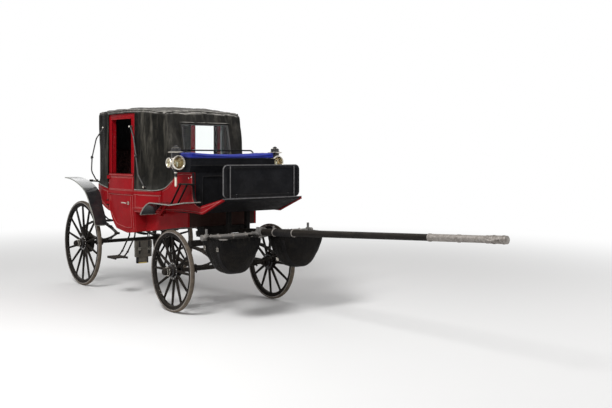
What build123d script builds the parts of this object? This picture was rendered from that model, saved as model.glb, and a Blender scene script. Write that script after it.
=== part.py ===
from build123d import *
import math
import os

# A landau carriage, in millimetres: X forward, Y left, Z up.
# The origin is on the ground under the rear axle; the written parts are moved to the middle of the length.

# Wheels and axles
rear_wheel_radius = 540
front_wheel_radius = 435
wheelbase = 2320
wheel_outset = 35
tyre_width = 44
tyre_depth = 24
felloe_depth = 44
felloe_width = 40
wheel_dish = 26
nave_radius = 66
nave_half_length = 82
nose_radius = 40
nose_length = 56
drum_radius = 124
drum_width = 58
arm_radius = 21
arm_fit = 0.05
axle_section = 42
wheel_side_gap = 6

# Body: its sides are barrels, round in plan about an upright line and round again from sill to belt
body_middle_x = 1020
body_half_width = 615
body_end_half_width = 500
body_end_reach = 870
half_track = body_half_width + wheel_outset
wall = 50
sill_tuck = 30
shoulder_tuck = 9
seat_gap = 0.3

# Heights and edges of the side panels
well_bottom_z = 750
body_bottom_z = 1030
belt_z = 1262
window_sill_z = 1450
door_head_z = 2165
header_depth = 62
door_rear_x = 655
door_front_x = 1327
pillar_width = 64
post_width = 26
door_gap = 6
body_rear_x = 155
quarter_front_x = 1830
well_half_width = 450
well_front_x = 2300
board = 24
hinge_behind = 2
hinge_stand_out = 12
hinge_pin_radius = 5
hinge_fit = 0.05
knuckle_radius = 10
knuckle_half_length = 20
hinge_heights = (1090, 1400)

# Hood
hood_stand_out = 3
leather = 14
hood_rear_x = body_rear_x - 9
roof_z = 2250
hood_back_drop = 6
hood_front_drop = 58
hood_back_top_z = roof_z - hood_back_drop
roof_fall = 26
hood_front_top_x = 1898
hood_front_foot_x = 2062
hood_front_foot_z = 1400
hood_split_x = 991
front_window_half_width = 315
front_window_bottom_z = 1622
front_window_top_z = 2020
glass_thickness = 6

# Driver's box
box_half_width = 505
box_panel = 26
seat_box_rear_x = 2105
seat_box_front_x = 2530
seat_box_bottom_z = 1482
seat_box_top_z = 1628
seat_box_half_width = 550
cushion_depth = 66
toe_rear_x = 2690
toe_front_x = 3072
toe_rear_z = 1052
toe_front_z = 1196
dash_x = 3052
dash_bottom_z = 1233
dash_top_z = 1558
dash_half_width = 480
dash_thickness = 26

# Springs
spring_width = 45
leaf = 8
rear_spring_half_length = 520
rear_spring_rise = 106
front_spring_half_length = 430
front_spring_rise = 92
rear_spring_y = half_track - 230
front_spring_y = half_track - 250
eye_radius = 14

# Turntable and fore-carriage
ring_outer = 310
ring_inner = 258
ring_thickness = 18
ring_slide_gap = 0.4
bolster_depth = 60
bolster_half_width = 72
futchell_y = 118
futchell_width = 40
futchell_depth = 44
futchell_tail = 360
kingpin_radius = 16
kingpin_fit = 0.05
splinter_x = wheelbase + 680
splinter_z = 842
splinter_half_length = 690
splinter_radius = 24
splinter_bow = 34
roller_bolt_radius = 13
roller_bolt_length = 52
roller_flange_radius = 24
roller_flange = 8
roller_bolts = ((78, 105), (0, 650))  # ahead of the bar's middle line, and y
bag_rear_x = splinter_x - 120
bag_front_x = splinter_x + 290
bag_inner_y = 166
bag_outer_y = 648
bag_bottom_z = splinter_z - 372
bag_wall = 26
hoop_radius = 8

# Pole
pole_root_x = wheelbase + 345
pole_root_z = splinter_z
pole_root_radius = 37
pole_tip_x = 6150
pole_tip_z = 1033
pole_tip_radius = 27
pole_head_length = 150

# Middle of the length, from the rear tyres' back to the end of the pole
middle_x = (pole_tip_x - rear_wheel_radius) / 2

barrel_radius = (body_end_reach ** 2 + (body_half_width - body_end_half_width) ** 2) / (
    2 * (body_half_width - body_end_half_width)
)


def barrel_y(x, half_width=body_half_width):
    """Half width of the barrel side at a place along the body."""
    return half_width - barrel_radius + math.sqrt(barrel_radius**2 - (x - body_middle_x) ** 2)


def outline(start, *steps):
    """A flat face. Each step is a point, or a pair of points for an arc through the first to the second."""
    edges = []
    here = start
    for step in steps:
        if isinstance(step[0], tuple):
            edges.append(ThreePointArc(here, step[0], step[1]))
            here = step[1]
        else:
            edges.append(Line(here, step))
            here = step
    if here != start:
        edges.append(Line(here, start))
    return make_face(edges)


def along_y(face, low, high):
    """Side view outline (x, z) made solid between two places across."""
    return Pos(0, low, 0) * extrude(Plane.XZ * face, amount=high - low, dir=(0, 1, 0))


def along_x(face, low, high):
    """Front view outline (y, z) made solid between two places along."""
    return Pos(low, 0, 0) * extrude(Plane.YZ * face, amount=high - low, dir=(1, 0, 0))


def along_z(face, low, high):
    """Plan outline (x, y) made solid between two heights."""
    return Pos(0, 0, low) * extrude(face, amount=high - low, dir=(0, 0, 1))


def block(x0, x1, y0, y1, z0, z1):
    return Pos((x0 + x1) / 2, (y0 + y1) / 2, (z0 + z1) / 2) * Box(x1 - x0, y1 - y0, z1 - z0)


def rod(points, radius, bend=0):
    """A round bar through points, with its corners bent to a radius."""
    path = FilletPolyline(*points, radius=bend) if bend and len(points) > 2 else Polyline(*points)
    start = Plane(origin=path @ 0, z_dir=path % 0)
    return sweep(start * Circle(radius), path=path, transition=Transition.ROUND)


def drum(center, radius, length, axis):
    """A cylinder by its middle, its radius, its length and the letter of its axis."""
    turn = {"x": Rot(0, 90, 0), "y": Rot(90, 0, 0), "z": Rot(0, 0, 0)}[axis]
    return Pos(*center) * turn * Cylinder(radius, length)


def strip(thickness, y0, y1, *edges):
    """A flat bar on edge lines in side view, as thick as given, between two places across."""
    return along_y(trace(Curve() + list(edges), line_width=thickness), y0, y1)


def other_side(solid):
    return mirror(solid, about=Plane.XZ)


def pair(solid):
    return [solid, other_side(solid)]


# Body shapes that the panels are cut from


def barrel(profile):
    """Left side solid: a (y, z) profile at the body's middle, swung along the barrel."""
    sweep_deg = 32
    line = Axis((body_middle_x, body_half_width - barrel_radius, 0), (0, 0, 1))
    swung = revolve(Pos(body_middle_x, 0, 0) * (Plane.YZ * profile), line, revolution_arc=2 * sweep_deg)
    return swung.rotate(line, -sweep_deg)


def side_wall(inset=0, thickness=wall):
    """The left side wall from below the sill to above the door head, with its belly."""
    out = body_half_width - inset
    low, high = well_bottom_z - 60, door_head_z + 40
    middle = 1120
    return barrel(
        outline(
            (out - thickness - sill_tuck, low),
            (out - sill_tuck, low),
            ((out, middle), (out - shoulder_tuck, window_sill_z)),
            (out - shoulder_tuck, high),
            (out - shoulder_tuck - thickness, high),
            (out - shoulder_tuck - thickness, window_sill_z),
            ((out - thickness, middle), (out - thickness - sill_tuck, low)),
        )
    )


def body_core(inset):
    """The room between the two side walls, this far inside their outer faces."""
    out = body_half_width - inset
    low, high = well_bottom_z - 60, door_head_z + 40
    half = barrel(
        outline(
            (-out, low),
            (out - sill_tuck, low),
            ((out, 1120), (out - shoulder_tuck, window_sill_z)),
            (out - shoulder_tuck, high),
            (-out, high),
        )
    )
    return half & other_side(half)


# Side outlines (x, z) of the lower body
tail_top = (body_rear_x, 1309)
tail_arc = ((235, 1145), (400, 1052))
heel_top = (700, 972)
heel_arc = ((770, 868), (862, 790))
floor_rear = (1150, well_bottom_z)
floor_front = (2250, 885)
floor_end = (well_front_x, 885)


def door_outline(gap):
    """The door's edge, or its opening in the body with gap 0."""
    rear, front, top = door_rear_x + gap, door_front_x - gap, window_sill_z - gap
    return outline(
        (rear, top),
        (rear, 990 + gap),
        (700, 972 + gap),
        ((770 + gap, 868), (862 + gap, 788)),
        (floor_rear[0], well_bottom_z),
        (front, well_bottom_z + 16),
        (front, top),
    )


def make_doors():
    """Each door with its pressed frame: the outer skin stands proud round a sunk middle panel."""
    edge = 52
    left = side_wall() & along_y(door_outline(door_gap), 400, 700)
    sunk = outline(
        (door_rear_x + edge, belt_z - edge / 2),
        (door_rear_x + edge + 30, 960),
        (870, 842),
        (1150, well_bottom_z + edge),
        (door_front_x - edge, well_bottom_z + edge + 12),
        (door_front_x - edge, belt_z - edge / 2),
    )
    left -= side_wall(-20, 24) & along_y(sunk, 400, 700)
    x, y = hinge_place()
    for z in hinge_heights:
        top_edge = ((x, y + 6), (x + 14, y - 2), (x + 54, y - 4))
        leaf_face = outline((x, y - 6), *top_edge, (x + 54, y - 18), (x + 14, y - 18))
        left += along_z(leaf_face, z - knuckle_half_length, z + knuckle_half_length)
        left += drum((x, y, z), knuckle_radius, 2 * knuckle_half_length, "z")
    return left - drum((x, y, 1200), hinge_pin_radius + hinge_fit, 900, "z")


def hinge_place():
    """The upright line in plan that the left door turns about."""
    return door_rear_x - hinge_behind, barrel_y(door_rear_x) + hinge_stand_out


def make_door_hinges(seats):
    """Pins held between two lugs on the standing pillar, two hinges a side."""
    x, y = hinge_place()
    hinges = []
    for z in hinge_heights:
        reach = knuckle_half_length + 12
        hinge = drum((x, y, z), hinge_pin_radius, 2 * reach, "z")
        for up in (-1, 1):
            lug_z = z + up * (knuckle_half_length + seat_gap + 6)
            hinge += drum((x, y, lug_z), knuckle_radius, 12, "z")
            hinge += block(x - 22, x, y - hinge_stand_out - 12, y + knuckle_radius, lug_z - 6, lug_z + 6)
        hinges.append(hinge)
    return [one for hinge in cut_back(hinges, seats) for one in pair(hinge)]


def make_side_panels():
    """Rear and front quarter panels, one pair of each."""
    rear_quarter = outline(
        tail_top, tail_arc, (door_rear_x, 990), (door_rear_x, belt_z + 2), (body_rear_x, 1312)
    )
    front_quarter = outline(
        (door_front_x, body_bottom_z),
        (quarter_front_x, body_bottom_z + 8),
        (quarter_front_x, 1286),
        ((1770, 1268), (1700, belt_z)),
        (door_front_x, belt_z),
    )
    hood = hood_block(0, True)
    rear = (side_wall() & along_y(rear_quarter, 300, 700)) - hood
    front = (side_wall() & along_y(front_quarter, 300, 700)) - hood
    return pair(rear), pair(front)


def make_bottom():
    """The bent bottom boards: tail, heel, floor of the well and its front end."""
    skin = outline(
        tail_top,
        tail_arc,
        heel_top,
        heel_arc,
        floor_rear,
        floor_front,
        floor_end,
        (well_front_x, 1040),
        (well_front_x - board, 1040),
        (well_front_x - board, 885 + board),
        (2250, 885 + board),
        (1150, well_bottom_z + board),
        (880, 790 + board),
        ((800, 872), (724, 972 + board)),
        (410, 1052 + board),
        ((262, 1150), (body_rear_x + board + 10, 1310)),
        (body_rear_x, 1310),
    )
    middle = along_y(skin, -well_half_width + board, well_half_width - board)
    rear = along_y(skin, -700, 700) & block(0, door_rear_x, -700, 700, 700, 1400) & body_core(wall + seat_gap)
    doorway = along_y(skin, -700, 700) & block(door_rear_x, door_front_x, -700, 700, 700, 1400)
    doorway &= body_core(wall + door_gap)
    return middle + rear + doorway - hood_block(0, True)


def make_well_sides():
    """Recessed sides of the well under the front quarters, set in from the panels above."""
    face = outline(
        (door_front_x, 772),
        floor_front,
        floor_end,
        (well_front_x, 1040),
        (quarter_front_x, 1040),
        (door_front_x, 1028),
    )
    plate = along_y(face, well_half_width - board, well_half_width)
    shelf = outline(
        (door_front_x, body_bottom_z + 0.3),
        (door_front_x, well_bottom_z + 24),
        (door_front_x + board, well_bottom_z + 26),
        (door_front_x + board, body_bottom_z - board),
        (quarter_front_x, body_bottom_z - board),
        (quarter_front_x, body_bottom_z),
    )
    outer_part = block(door_front_x, 2000, well_half_width - 1, 700, 700, 1200)
    ledge = along_y(shelf, 0, 700) & body_core(4) & outer_part
    return pair(plate + ledge)


def make_door_frames():
    """Standing pillars and header round each window, as deep as the wall."""
    ring = outline(
        (door_rear_x, window_sill_z),
        (door_rear_x, door_head_z),
        (door_front_x, door_head_z),
        (door_front_x, window_sill_z),
        (door_front_x - pillar_width, window_sill_z),
        (door_front_x - pillar_width, door_head_z - header_depth),
        (door_rear_x + pillar_width, door_head_z - header_depth),
        (door_rear_x + pillar_width, window_sill_z),
    )
    upright = along_y(ring, 400, 700)
    upright += block(door_rear_x - post_width, door_rear_x, 400, 700, belt_z + 2, door_head_z)
    upright += block(door_front_x, door_front_x + post_width, 400, 700, belt_z, door_head_z)
    return pair(side_wall(6, wall + 8) & upright)


# Hood


def hood_plan(inset):
    """Plan of the hood: barrel sides and rounded corners."""
    rear = hood_rear_x + inset
    half = body_half_width + hood_stand_out - inset
    corner = 86
    rear_y = barrel_y(rear + corner, half)
    front = 2200
    front_y = barrel_y(1890, half)
    side = ((body_middle_x, half), (rear + corner, rear_y))
    other = ((body_middle_x, -half), (1890, -front_y))
    lean = corner * (1 - math.sqrt(0.5))
    return outline(
        (front, front_y - 12),
        (1890, front_y),
        side,
        ((rear + lean, rear_y - lean - 6), (rear, rear_y - corner)),
        (rear, corner - rear_y),
        ((rear + lean, lean + 6 - rear_y), (rear + corner, -rear_y)),
        other,
        (front, 12 - front_y),
    )


def hood_side(inset, foot):
    """Side view of the hood, closed below at a foot line when it is the inner room."""
    top = roof_z - inset
    rear = hood_rear_x + inset
    front_top = hood_front_top_x - inset
    front_foot = hood_front_foot_x - inset
    start = (rear, 1310) if foot else (rear, 1000)
    belt_line = [(door_front_x, belt_z), (door_rear_x, belt_z)]
    swept = [(front_foot + 34, 1425), ((1960, 1322), (1700, belt_z)), *belt_line]
    lower = swept if foot else [(front_foot + 110, 1000)]
    return outline(
        start,
        (rear, hood_back_top_z - 80 - inset),
        ((rear + 20, hood_back_top_z - 20 - inset), (rear + 82, hood_back_top_z - inset)),
        ((body_middle_x, top), (front_top - 60, top - hood_front_drop)),
        ((front_top - 14, top - hood_front_drop - 18), (front_top, top - hood_front_drop - 58)),
        (front_foot, hood_front_foot_z),
        *lower,
    )


def hood_crown(inset):
    """Cross view of the roof: a crown that falls to rounded eaves."""
    top = roof_z - inset + 4
    return outline(
        (-700, 1000), (-700, top - roof_fall - 20), ((0, top), (700, top - roof_fall - 20)), (700, 1000)
    )


def hood_block(inset, foot):
    tall = along_z(hood_plan(inset), 1000, 2400)
    whole = tall & along_y(hood_side(inset, foot), -800, 800) & along_x(hood_crown(inset), 0, 2400)
    return whole


def make_hood():
    """The raised hood as two stiff leather halves that meet over the doors."""
    shell = hood_block(0, True) - hood_block(leather, False)
    shell -= block(door_rear_x - post_width, door_front_x + post_width, -800, 800, 1000, door_head_z)
    window = outline(
        (-front_window_half_width, front_window_bottom_z),
        (-front_window_half_width, front_window_top_z),
        (front_window_half_width, front_window_top_z),
        (front_window_half_width, front_window_bottom_z),
    )
    shell -= along_x(window, 1700, 2200)
    rear = shell & block(0, hood_split_x, -800, 800, 1000, 2400)
    front = shell & block(hood_split_x, 2300, -800, 800, 1000, 2400)
    top_z = roof_z - hood_front_drop - 58
    lean = (hood_front_foot_x - hood_front_top_x) / (top_z - hood_front_foot_z)

    def face_x(z):
        return hood_front_foot_x - lean * (z - hood_front_foot_z) - leather / 2

    low, high = front_window_bottom_z + 0.3, front_window_top_z - 0.3
    pane = outline(
        (face_x(low) - glass_thickness / 2, low),
        (face_x(high) - glass_thickness / 2, high),
        (face_x(high) + glass_thickness / 2, high),
        (face_x(low) + glass_thickness / 2, low),
    )
    glass = along_y(pane, 0.3 - front_window_half_width, front_window_half_width - 0.3)
    return rear, front, glass


# Driver's box


def make_box_sides():
    """Boot sides that sweep up into the seat and forward into the toe-board brackets."""
    face = outline(
        (quarter_front_x + 0.3, body_bottom_z + 8),
        (2300, 1060),
        (toe_rear_x, toe_rear_z),
        (toe_front_x, toe_front_z + 4),
        (toe_front_x, toe_front_z + 26),
        (2650, 1130),
        ((2545, 1165), (2510, 1250)),
        (2502, seat_box_bottom_z),
        (2170, seat_box_bottom_z),
        (2122, 1440),
        ((1975, 1328), (quarter_front_x + 0.3, 1290)),
    )
    plate = along_y(face, box_half_width - box_panel, box_half_width)
    return pair(plate)


def make_box_boards():
    """Boot floor and toe-board as one bent board, with the cabin's front board and the boot's front panel."""
    inner = box_half_width - box_panel - seat_gap
    floor = outline(
        (2046, 1040),
        (2300, 1040.3),
        (toe_rear_x + 2, toe_rear_z + 8),
        (toe_front_x, toe_front_z + 6),
        (toe_front_x, toe_front_z + 24),
        (toe_rear_x - 6, toe_rear_z + 30),
        (2300, 1062),
        (2046, 1062),
    )
    toe = along_y(floor, -inner, inner)
    bulkhead = block(2046, 2070, -inner, inner, 1062, 1398)
    front = block(2478, 2500, -inner, inner, 1062, seat_box_bottom_z)
    sunk = block(2494, 2520, 90 - inner, inner - 90, 1110, 1440)
    return toe, bulkhead, front - sunk


def make_seat_box():
    """Driver's seat box with its back rail on three uprights."""
    top, half = seat_box_top_z, seat_box_half_width
    side = outline(
        (seat_box_rear_x, seat_box_bottom_z + 40),
        (seat_box_rear_x, top),
        (seat_box_front_x, top),
        (seat_box_front_x, seat_box_bottom_z + 66),
        (seat_box_front_x - 26, seat_box_bottom_z),
        (seat_box_rear_x + 60, seat_box_bottom_z),
    )
    seat = along_y(side, -half, half)
    rail_x, rail_z, rail_y = seat_box_rear_x + 22, top + 92, half - 14
    corners = [(-rail_y, top - 2), (-rail_y, rail_z), (rail_y, rail_z), (rail_y, top - 2)]
    rail = rod([(rail_x, y, z) for y, z in corners], 8, 50)
    middle = drum((rail_x, 0, top + 45), 7, 94, "z")
    return seat + rail + middle


def make_driver_cushion():
    """Loose cushion of the driver's seat."""
    low = seat_box_top_z + seat_gap
    half = seat_box_half_width + 12
    pad = block(seat_box_rear_x + 46, seat_box_front_x + 12, -half, half, low, low + cushion_depth)
    return fillet(pad.edges().filter_by(Axis.Z), 40)


def make_dashboard():
    """Dashboard: a leathered panel in an iron frame with round top corners, on two feet."""
    half, corner = dash_half_width, 46
    plate = RectangleRounded(2 * half, dash_top_z - dash_bottom_z, corner)
    middle_z = (dash_bottom_z + dash_top_z) / 2
    leathered = along_x(Pos(0, middle_z) * plate, dash_x - dash_thickness / 2, dash_x + dash_thickness / 2)
    thin = RectangleRounded(2 * half - 60, dash_top_z - dash_bottom_z - 60, corner / 2)
    front = along_x(Pos(0, middle_z) * thin, dash_x + 5, dash_x + 30)
    rear = along_x(Pos(0, middle_z) * thin, dash_x - 30, dash_x - 5)
    foot_low = toe_front_z + 15
    foot = block(dash_x - 10, dash_x + 10, -18, 18, foot_low, dash_bottom_z + 12)
    feet = [Pos(0, y, 0) * foot for y in (-330, 330)]
    return leathered - front - rear + feet


# Springs, axles and wheels


def make_spring(x, y, seat_z, half_length, rise):
    """Full elliptic leaf spring: two bows of three leaves, joined at scrolled eyes, standing on seat_z."""
    stack = 3 * leaf
    eye_z = seat_z + stack - leaf / 2 + rise
    bows = []
    for up in (-1, 1):
        for leaf_no, share in enumerate((1.0, 0.72, 0.44)):
            apex = eye_z + up * (rise + leaf_no * leaf)
            reach = half_length * share
            end = eye_z + up * (rise * (1 - share**2) + leaf_no * leaf)
            bow = ThreePointArc((x - reach, end), (x, apex), (x + reach, end))
            bows.append(strip(leaf, y - spring_width / 2, y + spring_width / 2, bow))
    eyes = [drum((x + side * half_length, y, eye_z), eye_radius, spring_width + 8, "y") for side in (-1, 1)]
    clips = [
        block(x - 26, x + 26, y - spring_width / 2 - 5, y + spring_width / 2 + 5, low, low + stack)
        for low in (seat_z, seat_z + stack - leaf + 2 * rise)
    ]
    return bows[0] + bows[1:] + eyes + clips


def spring_top(seat_z, rise):
    return seat_z + 6 * leaf - leaf + 2 * rise


def make_axle(x, z):
    """Square axle bed with round arms for the two naves, and a collar at each shoulder."""
    shoulder = half_track - wheel_dish - nave_half_length - wheel_side_gap
    half = axle_section / 2
    bar = block(x - half, x + half, -shoulder, shoulder, z - half, z + half)
    arm_end = half_track - wheel_dish + nave_half_length
    arms = drum((x, 0, z), arm_radius, 2 * arm_end, "y")
    collars = [drum((x, side * (shoulder - 8), z), 34, 16, "y") for side in (-1, 1)]
    return bar + arms + collars


def turned(x, z, side, profile):
    """A (radius, y) profile turned about a wheel's axis; y grows outwards from the wheel's middle."""
    face = Plane(origin=(0, 0, 0), x_dir=(0, 0, 1), z_dir=(-1, 0, 0)) * profile
    solid = revolve(face, Axis((0, 0, 0), (0, 1, 0)))
    return Pos(x, 0, z) * (solid if side > 0 else other_side(solid))


def make_wheel(x, radius, spokes, side, braked):
    """Dished wooden wheel: nave, tapered spokes, felloe ring, and the tyre as a second solid."""
    mid = half_track
    nave_mid = half_track - wheel_dish
    rim = radius - tyre_depth
    inner = nave_mid - nave_half_length
    outer = nave_mid + nave_half_length
    nave = outline(
        (arm_radius + arm_fit, inner),
        (nave_radius - 20, inner),
        (nave_radius - 12, inner + 26),
        (nave_radius, nave_mid - 30),
        (nave_radius, nave_mid + 30),
        (nave_radius - 16, outer - 24),
        (nave_radius - 20, outer),
        (nose_radius, outer),
        (nose_radius, outer + 22),
        (nose_radius - 6, outer + nose_length - 8),
        (nose_radius - 14, outer + nose_length),
        (0, outer + nose_length),
        (0, outer + 6),
        (arm_radius + arm_fit, outer + 6),
    )
    felloe = outline(
        (rim - felloe_depth, mid - felloe_width / 2 + 6),
        (rim - felloe_depth + 8, mid - felloe_width / 2),
        (rim, mid - felloe_width / 2),
        (rim, mid + felloe_width / 2),
        (rim - felloe_depth + 8, mid + felloe_width / 2),
        (rim - felloe_depth, mid + felloe_width / 2 - 6),
    )
    z = radius
    wheel = turned(x, z, side, nave) + turned(x, z, side, felloe)
    foot, head = nave_radius - 14, rim - felloe_depth + 10
    length = math.hypot(head - foot, wheel_dish)
    lean = math.degrees(math.atan2(wheel_dish, head - foot))
    spoke = Pos(0, 0, length / 2) * Cone(17, 12, length)
    spoke = Pos(0, nave_mid, foot) * Rot(-lean, 0, 0) * spoke
    ring = [Rot(0, 360 * n / spokes, 0) * spoke for n in range(spokes)]
    for one in ring:
        wheel += Pos(x, 0, z) * (one if side > 0 else other_side(one))
    if braked:
        brake = outline(
            (nave_radius - 18, inner + 2),
            (drum_radius, inner + 2),
            (drum_radius, inner + 2 + drum_width),
            (drum_radius - 12, inner + 2 + drum_width),
            (nave_radius - 10, inner + 20 + drum_width / 2),
        )
        wheel += turned(x, z, side, brake)
    tread = outline(
        (rim, mid - tyre_width / 2),
        (radius - 9, mid - tyre_width / 2),
        ((radius, mid), (radius - 9, mid + tyre_width / 2)),
        (rim, mid + tyre_width / 2),
    )
    return wheel, turned(x, z, side, tread)


# Undercarriage


def make_body_irons():
    """Bent irons under the body that reach back over the rear springs."""
    top = spring_top(rear_wheel_radius + axle_section / 2, rear_spring_rise)
    depth = 22
    seat = top + depth / 2
    under_floor = [(1290, 737), (1150, 738), (872, 768), (742, 842), (560, 862)]
    points = under_floor + [(300, seat + 6), (60, seat), (-70, seat)]
    lines = [Line(a, b) for a, b in zip(points, points[1:])]
    bar = strip(depth, rear_spring_y - spring_width / 2, rear_spring_y + spring_width / 2, *lines)
    cross = drum((620, 0, 856), 13, 2 * rear_spring_y - spring_width + 2, "y")
    return pair(bar), cross


def make_turntable():
    """Upper ring, its beds under the boot and the kingpin, all on the body."""
    low = ring_base + ring_thickness + ring_slide_gap
    ring = Pos(wheelbase, 0, low + ring_thickness / 2) * (
        Cylinder(ring_outer, ring_thickness) - Cylinder(ring_inner, ring_thickness + 2)
    )
    top = low + ring_thickness
    bed = block(wheelbase - 70, wheelbase + 70, 10 - ring_outer, ring_outer - 10, low, floor_end[1])
    brace_x = wheelbase + ring_inner
    braces = [block(brace_x, brace_x + 44, y - 22, y + 22, low + 4, toe_rear_z + 6) for y in (-120, 120)]
    pin_low = bolster_base - ring_slide_gap
    pin = drum((wheelbase, 0, (pin_low + low + 10) / 2), kingpin_radius, low + 10 - pin_low, "z")
    nut = drum((wheelbase, 0, pin_low - 9), kingpin_radius + 12, 18, "z")
    return ring + bed + braces + pin + nut


bolster_base = spring_top(front_wheel_radius + axle_section / 2, front_spring_rise)
ring_base = bolster_base + bolster_depth + futchell_depth


def make_fore_frame():
    """Bolster on the springs, two futchells, the lower ring and the splinter bar's brackets."""
    bolster = block(
        wheelbase - bolster_half_width / 2,
        wheelbase + bolster_half_width / 2,
        -front_spring_y - 40,
        front_spring_y + 40,
        bolster_base,
        bolster_base + bolster_depth,
    )
    bolster += drum((wheelbase, 0, bolster_base + bolster_depth / 2), 62, bolster_depth, "z")
    base = bolster_base + bolster_depth
    tail_x, jaw_x = wheelbase - futchell_tail, pole_root_x - 1
    bar_x = splinter_bow_x(futchell_y)
    side = outline(
        (tail_x, base),
        (pole_root_x + 35, base),
        (bar_x, splinter_z - futchell_depth / 2),
        (bar_x, splinter_z + futchell_depth / 2),
        (pole_root_x + 25, base + futchell_depth),
        (tail_x, base + futchell_depth),
    )
    futchells = [
        along_y(side, y - futchell_width / 2, y + futchell_width / 2) for y in (-futchell_y, futchell_y)
    ]
    ring = Pos(wheelbase, 0, ring_base + ring_thickness / 2) * (
        Cylinder(ring_outer, ring_thickness) - Cylinder(ring_inner, ring_thickness + 2)
    )
    tail = block(tail_x, tail_x + 30, -futchell_y, futchell_y, base, base + futchell_depth)
    jaw = block(jaw_x - 24, jaw_x, -futchell_y, futchell_y, base, base + futchell_depth)
    frame = bolster + futchells + ring + tail + jaw
    frame -= drum((wheelbase, 0, bolster_base + 50), kingpin_radius + kingpin_fit, 300, "z")
    return frame


def make_splinter_bar(pole):
    """Bowed splinter bar with a socket round the pole, four roller bolts and the hoops of the catch bags."""
    reach = splinter_half_length
    middle = (splinter_x + splinter_bow, 0, splinter_z)
    path = ThreePointArc((splinter_x, -reach, splinter_z), middle, (splinter_x, reach, splinter_z))
    bar = sweep(Plane(origin=path @ 0, z_dir=path % 0) * Circle(splinter_radius), path=path)
    end = splinter_radius + 5
    bar += [drum((splinter_x, side * (reach - 4), splinter_z), end, 40, "y") for side in (-1, 1)]
    for side in (-1, 1):
        for ahead, y in roller_bolts:
            x = splinter_bow_x(y) + ahead
            flange_top = splinter_z + splinter_radius + roller_flange
            bolt_z = flange_top + roller_bolt_length / 2
            flange_z = flange_top - roller_flange
            if ahead:
                low_y, high_y = side * y - roller_flange_radius, side * y + roller_flange_radius
                bar += block(x - ahead, x, low_y, high_y, flange_top - 2 * roller_flange, flange_top)
            bar += drum((x, side * y, flange_z), roller_flange_radius, 2 * roller_flange, "z")
            bar += drum((x, side * y, bolt_z - 2), roller_bolt_radius, roller_bolt_length + 4, "z")
        hoop = make_face(Rectangle(bag_front_x - bag_rear_x, bag_outer_y - bag_inner_y).wire())
        hoop = fillet(hoop.vertices(), 40)
        hoop_middle = Pos((bag_rear_x + bag_front_x) / 2, side * (bag_inner_y + bag_outer_y) / 2, splinter_z)
        path = hoop_middle * hoop.wire()
        bar += sweep(Plane(origin=path @ 0, z_dir=path % 0) * Circle(hoop_radius), path=path)
    climb = math.degrees(math.atan2(pole_tip_z - pole_root_z, pole_tip_x - pole_root_x))
    socket_x = splinter_x + splinter_bow
    socket_z = pole_root_z + (socket_x - pole_root_x) * math.tan(math.radians(climb))
    bar += Pos(socket_x, 0, socket_z) * Rot(0, 90 - climb, 0) * Cylinder(pole_root_radius + 14, 84)
    return bar - pole


def splinter_bow_x(y):
    radius = (splinter_half_length**2 + splinter_bow**2) / (2 * splinter_bow)
    return splinter_x + splinter_bow - radius + math.sqrt(radius**2 - y**2)


def make_pole():
    """Tapered pole held between the futchells, and its iron head with loops and a hook."""
    length = math.hypot(pole_tip_x - pole_root_x, pole_tip_z - pole_root_z) - pole_head_length
    climb = math.degrees(math.atan2(pole_tip_z - pole_root_z, pole_tip_x - pole_root_x))
    place = Pos(pole_root_x, 0, pole_root_z) * Rot(0, 90 - climb, 0)
    pole = place * Pos(0, 0, length / 2) * Cone(pole_root_radius, pole_tip_radius, length)
    head = place * Pos(0, 0, length + pole_head_length / 2) * Cylinder(pole_tip_radius + 5, pole_head_length)
    for side in (-1, 1):
        loop = Pos(0, side * (pole_tip_radius + 40), length + 60) * Rot(0, 90, 0) * Torus(40, 7)
        head += place * loop
    return pole, head


def make_dung_bags():
    """Slack catch bags slung from hoops on the splinter bar, one each side of the pole."""
    top = splinter_z - hoop_radius - seat_gap
    middle = (bag_rear_x + bag_front_x) / 2 + 20
    deep = (bag_bottom_z + top) / 2 - 80
    outer = outline(
        (bag_rear_x, top),
        ((bag_rear_x + 80, deep), (middle, bag_bottom_z)),
        ((bag_front_x - 50, deep), (bag_front_x, top)),
    )
    inner = outline(
        (bag_rear_x + bag_wall, top + 1),
        ((bag_rear_x + 80 + bag_wall, deep), (middle, bag_bottom_z + bag_wall)),
        ((bag_front_x - 50 - bag_wall, deep), (bag_front_x - bag_wall, top + 1)),
    )
    bag = along_y(outer, bag_inner_y, bag_outer_y)
    return bag - along_y(inner, bag_inner_y + bag_wall, bag_outer_y - bag_wall)


# Fenders, lamps, steps and other fittings


def over_wheel(clear, deg):
    """A place this far outside the rear tyre, at an angle up from the front."""
    reach = rear_wheel_radius + clear
    return reach * math.cos(math.radians(deg)), rear_wheel_radius + reach * math.sin(math.radians(deg))


def make_rear_fenders():
    """Mudguards over the rear wheels, flung up behind, each on a stay from the body iron."""
    a = ThreePointArc(over_wheel(377, 114.8), over_wheel(272, 98), over_wheel(197, 78.3))
    b = ThreePointArc(over_wheel(197, 78.3), over_wheel(153, 64.4), over_wheel(93, 50.8))
    c = ThreePointArc(over_wheel(93, 50.8), over_wheel(80, 37.8), over_wheel(67, 25.4))
    blade = strip(8, 535, 728, a, b, c)
    blade -= side_wall(-4, wall + 10)
    stay = rod([(484, 585, 927), (440, 500, 862), (430, rear_spring_y + 10, 846)], 9)
    return pair(blade + stay)


def make_front_fenders():
    """Wings along the boot above the front wheels."""
    back, low, high = wheelbase - 370, wheelbase + 50, wheelbase + 364
    a = ThreePointArc((back - 228, 1004), (back - 135, 1094), (back, 1143))
    b = Line((back, 1143), (low, 1138))
    c = Line((low, 1138), (high, 1175))
    blade = strip(8, box_half_width + seat_gap, 716, a, b, c)
    keep_clear = side_wall(-1, wall + 2) & block(1500, quarter_front_x + 2, 300, 700, 900, 1300)
    return pair(blade - keep_clear)


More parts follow.
